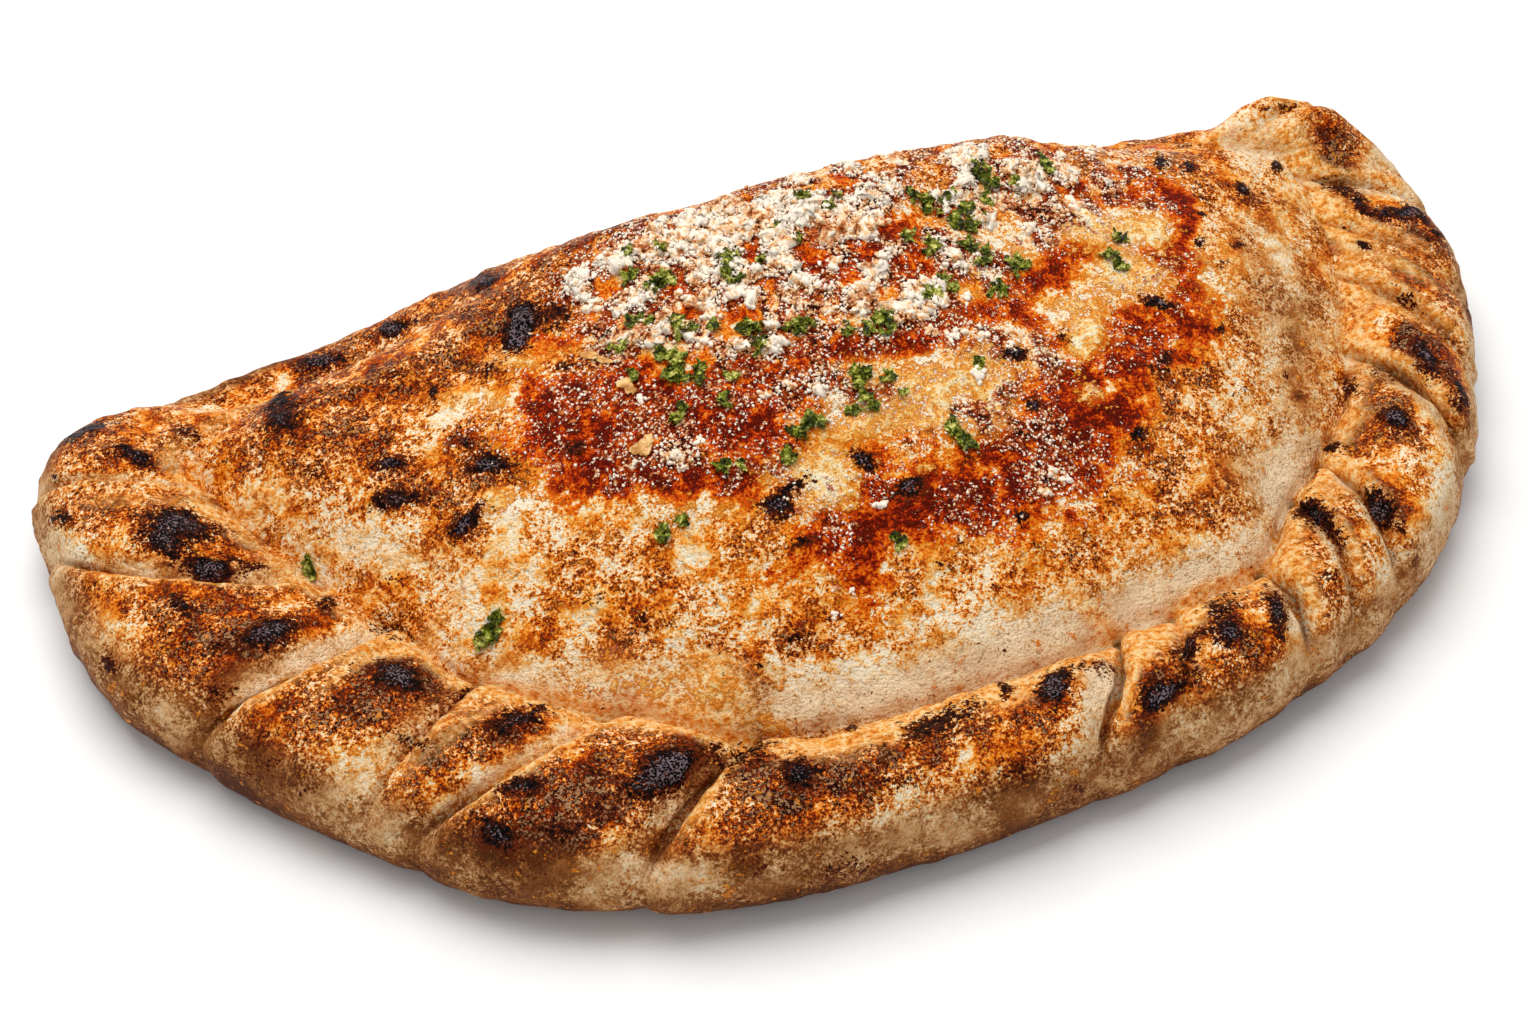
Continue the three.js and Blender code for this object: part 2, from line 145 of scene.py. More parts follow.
def grain(points, size, seed):
    """Smooth noise from -1 to 1 at each point, its lumps about `size` across; size may differ by axis."""
    scaled = points / np.asarray(size, float)
    cell = np.floor(scaled).astype(np.int64)
    part = scaled - cell
    ease = part**3 * (part * (part * 6 - 15) + 10)
    total = np.zeros(len(points))
    for corner in np.ndindex(2, 2, 2):
        weight = np.ones(len(points))
        for axis in range(3):
            weight *= ease[:, axis] if corner[axis] else 1 - ease[:, axis]
        total += weight * mixed_hash(*(cell[:, axis] + corner[axis] for axis in range(3)), seed)
    return 2 * total - 1


def layered(points, size, seed, layers=3):
    """Noise in layers, each half the size and strength of the one before."""
    parts = [grain(points, size / 2**i, seed + 7 * i) / 2**i for i in range(layers)]
    return sum(parts) / sum(0.5**i for i in range(layers))


def linear(hex_colour):
    """An sRGB hex colour as the linear RGBA that a shader takes."""
    channels = [int(hex_colour[i : i + 2], 16) / 255 for i in (1, 3, 5)]
    return (*[c / 12.92 if c <= 0.04045 else ((c + 0.055) / 1.055) ** 2.4 for c in channels], 1.0)


# ---------------------------------------------------------------- the dough's form
def outline_table():
    """Points round the half-moon, with their distance along it from the middle of the fold."""
    angle = math.pi / 2 + 2 * math.pi * np.linspace(0, 1, OUTLINE_POINTS)
    c, s = np.cos(angle), np.sin(angle)
    front, left = s < 0, c < 0
    power = np.zeros_like(angle)
    for (depth, side), roundness in ROUNDNESS.items():
        power[(front == (depth == "front")) & (left == (side == "left"))] = 2 / roundness
    middle = np.where(front, APEX_X, 0)
    reach_x = LENGTH / 2 + np.where(left, middle, -middle)
    reach_y = np.where(front, FRONT_REACH, BACK_REACH)
    x = middle + reach_x * np.sign(c) * np.abs(c) ** power
    y = WIDEST_Y + reach_y * np.sign(s) * np.abs(s) ** power
    along = np.concatenate([[0], np.cumsum(np.hypot(np.diff(x), np.diff(y)))])
    return along, x, y


OUTLINE_S, OUTLINE_X, OUTLINE_Y = outline_table()
PERIMETER = OUTLINE_S[-1]


def crimped(along):
    """1 along the crimped rim, 0 along the plain fold at the back."""
    return smoothstep(along, *CRIMP_START) * (1 - smoothstep(along, *CRIMP_END))


def ridge_height(x):
    """How high the belly's ridge is, which falls towards both ends."""
    end = np.where(x < 0, BELLY_LEFT_END, BELLY_RIGHT_END)
    share = np.minimum(1, np.abs(x) / SPINE_HALF)
    return lerp(end, BELLY_TOP, np.cos(share * math.pi / 2) ** RIDGE_FALL)


def crease_depth(along, share):
    """How deep the creases are: each sinks slowly on one side and steeply on the other."""
    depth = np.zeros_like(along)
    for outer, inner, deep in CREASES:
        past = along - lerp(outer, inner, share)
        slope = np.where(past < 0, 1 + past / GENTLE_SIDE, 1 - past / STEEP_SIDE)
        depth += deep * np.maximum(0, slope) ** CREASE_CURVE
    return depth


def lump_rise(x, y):
    """How much the filling's lumps raise the belly."""
    return sum(rise * np.exp(-((x - lx) ** 2 + (y - ly) ** 2) / reach**2) for lx, ly, reach, rise in LUMPS)


def side_bulge(along):
    """How far the side stands out past the plain half-moon."""
    return sum(out * np.exp(-(((along - at) / reach) ** 2)) for at, reach, out in SIDE_BULGES)


def lay_columns():
    """Outer and inner ends of the mesh's columns, one on every crease and closer together beside it."""
    ends = [(outer, inner) for outer, inner, _ in CREASES]
    ends.append((ends[0][0] + PERIMETER, ends[0][1] + PERIMETER))
    columns = []
    for (outer, inner), (next_outer, next_inner) in zip(ends, ends[1:]):
        plain = next_outer > PERIMETER
        steps = max(FEWEST_COLUMNS, round((next_outer - outer) / COLUMN_STEP))
        even = np.arange(steps) / steps
        share = even if plain else even - CREASE_CROWDING * np.sin(2 * math.pi * even)
        columns.append(np.column_stack([lerp(outer, next_outer, share), lerp(inner, next_inner, share)]))
    return np.vstack(columns)


def skin_row(columns, band, t):
    """One row of the dough's skin: its points, its distances along the outline and its share of the rim."""
    turn = t * math.pi / 2
    share = {
        "under": 0.0,
        "side": ROLL_SHARE * (1 - math.cos(turn)),
        "fall": lerp(ROLL_SHARE, 1, t),
        "belly": lerp(1, BELLY_SLANT, t),
    }[band]
    along = np.mod(lerp(columns[:, 0], columns[:, 1], share), PERIMETER)
    foot = np.column_stack([np.interp(along, OUTLINE_S, OUTLINE_X), np.interp(along, OUTLINE_S, OUTLINE_Y)])
    ridge = np.column_stack([foot[:, 0] * SPINE_HALF / (LENGTH / 2), np.full(len(foot), SPINE_Y)])
    inward = ridge - foot
    length = np.linalg.norm(inward, axis=1)
    inward /= length[:, None]
    top = ridge_height(ridge[:, 0])
    rim = crimped(along)
    width, height, groove = (keyed(keys, along) for keys in (RIM_WIDTHS, RIM_HEIGHTS, GROOVE_HEIGHTS))
    lean, bulged = math.pi / 2, 0.0
    if band == "under":
        curl = lerp(CONTACT_INSET_FOLD, CONTACT_INSET_RIM, rim)
        inset = curl * (1 - math.sin(turn) ** UNDER_FULLNESS)
        z = np.full(len(foot), SIDE_HEIGHT * (1 - math.cos(turn) ** UNDER_FULLNESS))
        lean, creased, bulged = turn - math.pi / 2, SIDE_CREASE * math.sin(turn) ** 2, math.sin(turn)
    elif band == "side":
        inset = ROLL_SHARE * width * (1 - math.cos(turn))
        z = lerp(SIDE_HEIGHT, height, math.sin(turn))
        lean, creased, bulged = turn, lerp(SIDE_CREASE, 1, math.sin(turn)), math.cos(turn)
    elif band == "fall":
        inset = lerp(ROLL_SHARE, 1, t) * width
        z = lerp(height, groove, 1 - math.cos(turn))
        creased = lerp(1, GROOVE_CREASE, t**2)
    else:
        inset = lerp(width, length, t)
        z = lerp(groove, top, (1 - (1 - t) ** 2) ** BELLY_FULLNESS)
        creased = GROOVE_CREASE * max(0, 1 - t / GROOVE_FADE) ** 2
    if band != "under":
        fold_z = lerp(FOLD_SIDE_HEIGHT, top, (1 - np.clip(1 - inset / length, 0, 1) ** 2) ** FOLD_FULLNESS)
        z = lerp(fold_z, z, rim)
    sunk = rim * creased * crease_depth(along, share)
    inset = inset + sunk * math.cos(lean) - bulged * side_bulge(along)
    xy = foot + inward * inset[:, None]
    z = z - sunk * math.sin(lean)
    if band == "belly":
        z = z + min(1, t / LUMP_START) * lump_rise(xy[:, 0], xy[:, 1])
    return np.column_stack([xy, z]), along, np.full(len(along), share)


class Skin:
    """The dough's skin as a grid, in mm: its points, how far along the outline and how far in over the rim
    each lies, and each row's share of the way through its band."""

    def __init__(self):
        columns = lay_columns()
        rows = [skin_row(columns, "under", 0.0)]
        self.bands, through = ["under"], [0.0]
        for band, count in ROWS.items():
            for j in range(1, count + 1):
                t = BELLY_END * (j / count) ** BELLY_CROWDING if band == "belly" else j / count
                rows.append(skin_row(columns, band, t))
                self.bands.append(band)
                through.append(t)
        self.t = np.array(through)[:, None]
        self.points = np.array([row[0] for row in rows])
        self.along = np.array([row[1] for row in rows])
        self.share = np.array([row[2] for row in rows])
        flat = self.points.reshape(-1, 3)
        centre = (flat.min(0) + flat.max(0)) / 2
        self.points -= [centre[0], centre[1], 0]
        self.rows, self.columns = self.along.shape

    def in_band(self, band):
        """Which rows belong to a band, as a column that spreads over the grid."""
        return np.array([row_band == band for row_band in self.bands])[:, None]

    def normals(self):
        """Outward normal of every grid point."""
        across = np.gradient(self.points, axis=0)
        round_ = (np.roll(self.points, -1, axis=1) - np.roll(self.points, 1, axis=1)) / 2
        normal = np.cross(round_, across)
        normal /= np.maximum(np.linalg.norm(normal, axis=2, keepdims=True), 1e-9)
        return normal

    def faces(self):
        """Quads of the grid, and the two narrow loops that close it along the ridge and underneath."""
        n = self.columns
        grid = []
        for r in range(self.rows - 1):
            for c in range(n):
                d = (c + 1) % n
                grid.append((r * n + c, r * n + d, (r + 1) * n + d, (r + 1) * n + c))
        last = (self.rows - 1) * n
        grid += [tuple(last + k for k in face) for face in zipped(self.points[-1])]
        grid += [tuple(reversed(face)) for face in zipped(self.points[0])]
        return grid


def zipped(loop):
    """Triangles that close a loop: its front and back sides zipped together from left to right."""
    n = len(loop)
    faces = []
    front = int(np.argmin(loop[:, 0]))
    back = (front + n - 1) % n
    for _ in range(n - 2):
        next_front, next_back = (front + 1) % n, (back + n - 1) % n
        if loop[next_front, 0] < loop[next_back, 0]:
            faces.append((front, next_front, back))
            front = next_front
        else:
            faces.append((front, next_back, back))
            back = next_back
    return faces


# ---------------------------------------------------------------- seeing the skin from the camera
def camera_axes():
    """Unit steps to the right, up and back, as the camera lies."""
    azimuth, elevation = math.radians(CAMERA_AZIMUTH), math.radians(CAMERA_ELEVATION)
    level = math.cos(elevation)
    back = np.array([math.sin(azimuth) * level, -math.cos(azimuth) * level, math.sin(elevation)])
    right = np.cross(-back, [0, 0, 1])
    right /= np.linalg.norm(right)
    return right, np.cross(right, -back), back


RIGHT, UP, BACK = camera_axes()
EYE = np.array(LOOKS_AT) + BACK * CAMERA_DISTANCE
FOCAL = CAMERA_LENS / SENSOR_WIDTH * IMAGE_WIDTH
PIXEL = CAMERA_DISTANCE / FOCAL  # mm that a pixel of the image spans on the calzone
STEEPEST_VIEW = 0.28  # below this slope towards the camera, a mark isn't drawn out any further
MOST_STRETCH = 2.4  # times that a mark may be longer on the skin than it looks


def add_camera():
    """The camera, from where the skin's marks are laid."""
    data = bpy.data.cameras.new("camera")
    data.lens, data.sensor_width, data.sensor_fit = CAMERA_LENS, SENSOR_WIDTH, "HORIZONTAL"
    data.clip_start, data.clip_end = 0.01, 20
    camera = bpy.data.objects.new("camera", data)
    turn = Matrix((RIGHT, UP, BACK)).transposed().to_4x4()
    camera.matrix_world = Matrix.Translation(Vector(EYE * MM)) @ turn
    bpy.context.scene.collection.objects.link(camera)
    bpy.context.scene.camera = camera


class Finder:
    """Finds the place on the skin that is seen at a pixel."""

    def __init__(self, points, faces):
        self.tree = BVHTree.FromPolygons([tuple(p) for p in points], faces)

    def ray(self, x, y):
        """The direction in which the camera sees a pixel."""
        way = RIGHT * (x - IMAGE_WIDTH / 2) / FOCAL - UP * (y - IMAGE_HEIGHT / 2) / FOCAL - BACK
        return Vector(way / np.linalg.norm(way))

    def find(self, x, y):
        """The place on the skin and its normal, or None for both beside the calzone."""
        place, normal, _, _ = self.tree.ray_cast(Vector(EYE), self.ray(x, y))
        return (None, None) if place is None else (np.array(place), np.array(normal))

    def axes(self, x, y, angle, normal):
        """Steps on the skin that show as one pixel along the angle and one pixel across it."""
        way = np.array(self.ray(x, y))
        steep = min(way @ normal, -STEEPEST_VIEW)
        found = []
        for turn in (math.radians(angle), math.radians(angle + 90)):
            step = RIGHT * math.cos(turn) + UP * math.sin(turn)
            step = step - way * (step @ normal) / steep
            step = step - normal * (step @ normal)
            found.append(step * PIXEL * min(1, MOST_STRETCH / np.linalg.norm(step)))
        return found


# ---------------------------------------------------------------- where the oven and the cook left marks, with painted highlights and shade among them
# Marks on the side towards the camera: x, y of the middle in image pixels, half-length and half-width in
# pixels, the angle it lies at, and its strength. Each is laid on the crust where it is seen.
CHAR_MARKS = [
    # the left tip and the slanting folds beside it
    (84, 432, 30, 8, 18, 0.9), (135, 454, 25, 9, -28, 0.95), (54, 475, 7, 6, 0, 0.5),
    (62, 516, 11, 8, 20, 0.8), (178, 526, 40, 15, -12, 1.0), (165, 545, 16, 9, -30, 0.9),
    (208, 572, 19, 15, 0, 1.0), (250, 566, 20, 6, -12, 0.75), (183, 608, 27, 9, -42, 0.8),
    (270, 632, 34, 13, 20, 1.0), (328, 604, 9, 8, 0, 0.75), (222, 648, 18, 8, 0, 0.55),
    (216, 692, 13, 11, 0, 0.55), (112, 665, 13, 7, -50, 0.7), (100, 590, 14, 9, 0, 0.4),
    # the broad folds at the front
    (398, 680, 31, 15, -28, 1.0), (345, 705, 18, 13, 0, 0.5), (265, 735, 14, 8, 20, 0.5),
    (262, 762, 30, 22, 10, 0.3), (512, 721, 32, 9, 16, 0.95), (462, 698, 14, 6, 20, 0.6),
    (413, 746, 22, 5, 12, 0.7), (300, 790, 16, 9, 0, 0.35), (668, 770, 34, 19, 32, 1.1),
    (632, 786, 10, 6, 0, 0.7), (519, 787, 21, 9, 6, 0.95), (503, 837, 27, 12, -42, 0.95),
    (553, 831, 21, 10, 0, 0.8), (596, 778, 34, 20, 20, 0.5), (598, 812, 26, 12, 0, 0.45),
    (797, 775, 22, 15, -10, 0.9), (853, 732, 8, 7, 0, 0.9), (932, 728, 38, 13, 14, 0.8),
    (892, 780, 30, 12, 0, 0.5), (884, 752, 22, 9, 0, 0.4), (1007, 694, 8, 7, 0, 0.9),
    (1000, 729, 5, 4, 0, 0.6), (1054, 690, 18, 14, 42, 1.05), (1020, 770, 27, 14, 12, 0.55),
    (1095, 668, 26, 6, 0, 0.5), (1078, 787, 8, 5, 0, 0.7), (848, 868, 32, 14, 15, 0.45),
    (752, 868, 14, 10, 0, 0.45), (745, 828, 14, 12, 0, 0.35),
    # the short folds towards the right tip
    (1162, 694, 28, 14, 30, 1.0), (1190, 646, 24, 8, 58, 0.85), (1222, 612, 20, 18, 60, 0.65),
    (1230, 634, 12, 9, 0, 0.85), (1277, 612, 24, 9, -80, 0.95), (1211, 685, 7, 6, 0, 0.55),
    (1316, 516, 18, 15, -20, 0.9), (1334, 540, 12, 10, 0, 0.65), (1330, 575, 12, 9, 0, 0.5),
    (1379, 511, 20, 14, -60, 1.05), (1337, 452, 13, 6, 0, 0.75), (1316, 476, 6, 5, 0, 0.6),
    (1395, 421, 18, 10, -15, 1.0), (1347, 390, 13, 9, -20, 0.75), (1380, 373, 22, 5, -8, 0.45),
    (1423, 353, 26, 9, -55, 0.95), (1456, 393, 22, 6, -72, 0.8), (1405, 300, 16, 12, -30, 0.5),
    (1364, 247, 8, 5, 0, 0.9), (1346, 231, 6, 5, 0, 0.6), (1408, 215, 19, 10, 0, 1.0),
    (1434, 236, 12, 8, -50, 0.85), (1378, 214, 14, 5, 0, 0.8), (1341, 190, 20, 8, -25, 0.8),
    (1358, 204, 8, 6, -40, 0.8), (1331, 133, 15, 10, 0, 0.65), (1285, 106, 22, 6, 5, 0.5),
    # The mark at 1275, 167 blackens a dark hole in the valley behind the right tip: painted shade there, laid
    # as char.
    (1275, 167, 6, 8, 0, 1.0), (1468, 285, 6, 14, 0, 0.7), (1416, 560, 6, 10, 0, 0.3),
    # the left and the back of the belly
    (324, 361, 29, 10, 8, 1.0), (392, 331, 21, 9, 8, 1.0), (418, 322, 8, 4, 0, 0.6),
    (280, 405, 26, 20, 0, 0.75), (278, 425, 14, 7, 0, 0.7), (187, 434, 15, 11, -20, 0.65),
    (227, 463, 6, 7, 0, 0.45), (215, 402, 18, 6, 15, 0.5), (283, 457, 12, 7, 0, 0.4),
    (318, 473, 12, 8, 0, 0.6), (347, 440, 12, 7, 0, 0.4), (391, 463, 18, 7, 10, 1.0),
    (400, 499, 26, 9, 6, 0.9), (465, 524, 22, 9, 38, 1.0), (435, 393, 5, 8, 0, 1.0),
    (466, 443, 11, 6, -40, 0.9), (489, 466, 26, 10, 6, 1.0), (451, 478, 7, 6, 0, 0.5),
    (480, 369, 17, 6, 0, 0.7), (521, 331, 17, 26, 0, 1.15), (555, 318, 22, 14, 10, 0.65),
    (485, 284, 17, 11, 20, 0.95), (555, 238, 26, 7, 10, 0.95), (462, 315, 16, 12, 0, 0.5),
    (577, 279, 10, 6, 0, 0.65), (570, 366, 14, 6, 0, 0.8), (577, 448, 10, 7, 0, 0.75),
    (397, 372, 20, 12, 0, 0.5), (396, 583, 13, 8, 10, 0.4),
    # among the sauce and cheese
    (722, 402, 10, 7, 0, 0.5), (776, 506, 15, 10, 0, 1.0), (796, 487, 15, 6, 30, 0.85),
    (788, 450, 10, 9, 0, 0.7), (800, 543, 17, 5, 5, 0.8), (864, 464, 15, 8, -30, 1.05),
    (908, 488, 13, 10, 0, 1.0), (906, 447, 9, 6, 0, 0.5), (972, 458, 12, 6, 0, 0.5),
    (959, 540, 6, 5, 0, 0.75), (943, 567, 8, 4, 0, 0.75), (1020, 517, 8, 6, 0, 1.0),
    (1038, 547, 9, 8, 0, 0.4), (1012, 357, 13, 8, 0, 1.0), (1063, 339, 9, 8, 0, 0.6),
    (1034, 408, 7, 8, 0, 1.0), (1010, 424, 5, 4, 0, 0.6), (1161, 306, 17, 6, -15, 1.0),
    (1159, 366, 16, 12, 20, 0.7), (1138, 436, 10, 10, 0, 0.9), (1172, 409, 10, 7, 0, 0.5),
    (1160, 166, 8, 11, 0, 0.9), (1188, 170, 9, 7, 0, 0.9), (1185, 148, 10, 6, 0, 0.6),
    (1243, 190, 12, 7, -50, 0.9), (1202, 198, 9, 4, -30, 0.7), (1200, 216, 6, 4, 0, 0.85),
    (1198, 245, 7, 6, 0, 0.7), (1238, 246, 11, 4, 0, 0.8), (1224, 263, 8, 5, 0, 0.5),
    (1220, 330, 5, 8, 0, 0.8), (1241, 392, 10, 7, 0, 0.6), (1287, 375, 3, 5, 0, 0.9),
    (1210, 372, 12, 10, 0, 0.4),
    # purple-brown patches and pits on the front of the belly
    (600, 592, 22, 12, 20, 0.4), (655, 622, 26, 12, -15, 0.45), (800, 640, 17, 10, 0, 0.55),
    (760, 664, 10, 7, 0, 0.4), (1005, 651, 7, 3, 0, 0.5), (950, 650, 5, 4, 0, 0.4),
    (902, 672, 4, 4, 0, 0.4), (1100, 515, 14, 9, 0, 0.35),
]
# Browning of the dough where it is stronger or weaker than its surroundings.
TOAST_MARKS = [
    # the left tip and its folds
    (90, 470, 55, 24, 15, 0.0), (170, 535, 70, 26, -12, 0.02), (330, 500, 40, 30, 0, -0.1),
    (210, 650, 60, 34, 20, 0.2), (290, 628, 50, 18, 15, 0.2), (160, 650, 80, 45, -20, 0.12),
    (216, 502, 28, 7, -8, 0.45), (60, 560, 20, 30, 0, -0.35), (150, 480, 24, 12, -20, -0.3),
    (330, 645, 40, 10, 28, -0.15), (250, 690, 60, 10, 28, -0.2), (150, 585, 30, 10, -5, -0.25),
    (230, 598, 60, 7, 3, -0.3),
    # the broad folds
    (330, 715, 100, 30, 20, 0.22), (410, 680, 50, 22, 0, 0.15), (250, 765, 50, 36, 10, 0.15),
    (515, 728, 50, 14, 14, 0.2), (590, 785, 120, 45, 15, 0.35), (560, 840, 90, 22, 0, 0.25),
    (690, 735, 50, 12, -5, 0.15), (480, 778, 70, 14, 30, -0.25), (620, 700, 60, 12, 20, -0.2),
    (650, 820, 60, 12, 25, -0.35), (560, 700, 50, 8, -10, -0.15), (415, 800, 9, 40, -5, 0.4),
    (360, 815, 24, 14, 0, 0.25), (320, 815, 60, 24, -20, -0.1), (660, 870, 80, 16, 5, -0.15),
    (920, 745, 130, 35, 14, 0.0), (800, 790, 60, 40, 20, 0.2), (1050, 700, 50, 35, 30, 0.15),
    (1100, 660, 50, 14, 20, 0.1), (1010, 775, 40, 18, 10, 0.15), (890, 850, 130, 22, 14, -0.15),
    (760, 845, 40, 30, 0, 0.2), (690, 855, 30, 10, 0, 0.3), (1110, 690, 14, 22, 20, -0.45),
    (1080, 750, 40, 16, 10, -0.2),
    # the short folds towards the right tip
    (1170, 680, 36, 22, 40, 0.1), (1235, 620, 36, 30, 30, 0.0), (1325, 535, 24, 40, 0, 0.1),
    (1255, 660, 16, 24, 0, 0.25), (1320, 600, 24, 12, 0, 0.25), (1150, 740, 30, 14, 0, 0.2),
    (1180, 760, 50, 20, 15, -0.05), (1380, 508, 20, 24, 0, 0.25), (1370, 395, 36, 26, 0, 0.2),
    (1350, 440, 26, 12, 0, 0.2), (1420, 345, 16, 50, -30, 0.2), (1390, 270, 50, 14, -15, 0.25),
    (1400, 235, 50, 12, -20, 0.2), (1330, 140, 22, 26, 0, 0.2), (1290, 108, 34, 8, 0, 0.2),
    (1285, 150, 60, 40, 0, -0.3), (1220, 640, 110, 60, 0, -0.1), (210, 505, 110, 46, 0, -0.12),
    (630, 900, 140, 22, 0, 0.12), (470, 560, 90, 50, 0, 0.12), (100, 600, 50, 60, 0, 0.12),
    (1260, 165, 30, 25, 0, -0.2), (1300, 240, 30, 60, 0, 0.12), (1370, 165, 16, 30, -40, -0.45),
    (1400, 190, 24, 8, -30, -0.3), (1375, 255, 50, 6, -22, 0.35), (1385, 272, 45, 7, -25, -0.4),
    (1410, 262, 45, 6, -25, 0.3), (1440, 300, 40, 7, -45, -0.35), (1350, 215, 40, 6, -20, -0.3),
    (1395, 200, 30, 5, -15, -0.3), (1350, 175, 26, 7, -30, 0.25), (1330, 160, 14, 26, 0, 0.2),
    (1410, 315, 14, 30, -30, 0.15), (1350, 190, 34, 7, -35, 0.35), (1350, 222, 50, 5, -10, 0.3),
    (1360, 248, 60, 5, -14, 0.35), (1390, 285, 50, 6, -28, 0.35), (1330, 140, 26, 14, -40, 0.3),
    (1400, 330, 16, 40, -35, 0.25), (1345, 385, 24, 10, 0, 0.3), (1355, 600, 18, 14, 0, 0.2),
    (1416, 560, 6, 14, 0, 0.5), (1402, 572, 5, 8, 0, 0.4), (1440, 500, 30, 60, 0, -0.2),
    (1330, 345, 16, 40, 0, -0.1), (1310, 670, 40, 20, 20, 0.1), (1290, 705, 60, 20, 25, -0.1),
    (1380, 330, 16, 30, -30, -0.3),
    # the belly
    (340, 400, 150, 60, 22, 0.2), (470, 300, 120, 45, 25, 0.1), (440, 440, 110, 45, 10, 0.15),
    (560, 520, 90, 40, 0, 0.12), (260, 440, 60, 30, 0, 0.05), (235, 420, 12, 8, 0, -0.35),
    (370, 545, 110, 26, -8, -0.22), (330, 500, 60, 22, 0, -0.2), (560, 630, 50, 40, 0, -0.12),
    (490, 580, 60, 40, 0, -0.05), (450, 610, 50, 30, 0, -0.05), (640, 695, 120, 20, -6, -0.32),
    (640, 600, 80, 34, 0, 0.02), (640, 655, 60, 12, 0, 0.05), (780, 600, 110, 45, 0, 0.1),
    (790, 680, 60, 30, 0, 0.0), (870, 600, 50, 40, 0, 0.15), (900, 690, 140, 20, 14, -0.25),
    (980, 645, 140, 28, 14, -0.25), (1130, 600, 90, 26, 22, -0.28), (1040, 550, 110, 34, 8, 0.15),
    (1180, 500, 70, 45, 20, 0.2), (1190, 400, 70, 70, 0, 0.25), (1230, 560, 60, 22, 25, -0.35),
    (1290, 350, 45, 90, 10, -0.12), (1260, 430, 40, 60, 0, -0.2), (1285, 480, 20, 40, 0, -0.3),
    (1270, 300, 40, 20, 0, 0.2), (1240, 200, 34, 30, -30, 0.1), (1215, 150, 40, 18, -20, 0.1),
    (1185, 172, 50, 30, 0, 0.15), (1272, 433, 5, 12, 20, 0.5), (1299, 397, 6, 6, 0, 0.4),
    (490, 395, 50, 12, 0, -0.25), (440, 420, 30, 10, 0, -0.2), (500, 505, 28, 12, 0, -0.4),
    (560, 260, 40, 14, 0, 0.1), (700, 500, 60, 14, 0, -0.05), (720, 640, 40, 18, 0, -0.1),
]
SAUCE_MARKS = [
    (545, 405, 34, 22, 0, 0.9), (575, 390, 60, 20, 0, 0.75), (560, 335, 40, 10, 5, 0.6),
    (540, 440, 40, 24, 0, 0.7), (610, 440, 70, 42, 0, 0.95), (660, 470, 70, 22, -6, 1.0),
    (690, 482, 40, 12, 0, 1.0), (640, 395, 60, 34, 0, 0.9), (700, 430, 60, 34, 0, 0.85),
    (750, 400, 50, 40, 0, 0.85), (760, 440, 24, 24, 0, 0.8), (745, 490, 30, 26, 40, 0.5),
    (590, 480, 24, 16, 0, 0.5), (830, 350, 60, 13, 5, 0.95), (900, 345, 70, 11, 3, 0.95),
    (790, 370, 40, 24, 0, 0.7), (980, 315, 60, 16, 10, 0.85), (1045, 278, 36, 16, 12, 1.0),
    (1075, 256, 34, 13, 0, 0.9), (1030, 320, 26, 16, 0, 0.7), (880, 235, 44, 34, 0, 0.85),
    (800, 260, 70, 40, 0, 0.7), (700, 290, 80, 50, 0, 0.65), (650, 258, 26, 12, 0, 0.8),
    (690, 216, 34, 11, 0, 0.9), (842, 180, 22, 8, 0, 0.9), (935, 148, 20, 7, 0, 0.8),
    (1022, 160, 12, 6, 0, 0.9), (905, 270, 60, 30, 0, 0.8), (620, 300, 60, 26, 0, 0.6),
    (1100, 200, 40, 16, 0, 0.6), (1075, 185, 24, 9, 0, 0.7), (1130, 175, 34, 24, 0, 0.6),
    (1165, 200, 28, 18, -30, 0.95), (1185, 230, 14, 30, -10, 0.95), (1150, 150, 30, 12, 0, 0.5),
    (1160, 262, 32, 18, -20, 1.0), (1185, 290, 22, 22, 0, 1.0), (1175, 325, 50, 14, -15, 0.9),
    (1110, 325, 30, 18, 0, 0.75), (1145, 345, 45, 20, 0, 0.7), (1130, 365, 50, 16, 10, 0.9),
    (1085, 370, 40, 14, 0, 0.7), (1040, 385, 34, 20, 0, 0.75), (1075, 410, 44, 40, 0, 0.95),
    (1115, 410, 34, 24, 0, 1.0), (1060, 450, 50, 36, 0, 1.0), (1010, 450, 44, 30, 0, 0.9),
    (1070, 485, 34, 16, 10, 0.85), (990, 488, 60, 22, 5, 0.95), (960, 512, 58, 11, -2, 1.0),
    (930, 490, 50, 26, 0, 0.9), (880, 495, 34, 26, 0, 0.95), (890, 520, 46, 12, 0, 0.95),
    (870, 450, 34, 12, -20, 0.5), (850, 545, 44, 22, 0, 0.85), (815, 535, 30, 14, 0, 0.7),
    (860, 575, 20, 26, 0, 0.75), (780, 572, 26, 14, 0, 0.6), (710, 570, 20, 10, 0, 0.45),
    (870, 610, 26, 30, 0, 0.4), (1040, 530, 30, 24, 0, 0.35), (960, 540, 50, 12, 0, 0.4),
    (1215, 315, 14, 30, -30, 0.4), (910, 440, 30, 14, 0, 0.45), (850, 440, 30, 10, 0, 0.5),
    (800, 420, 26, 20, 0, 0.45), (1060, 345, 16, 12, 0, 0.8),
]
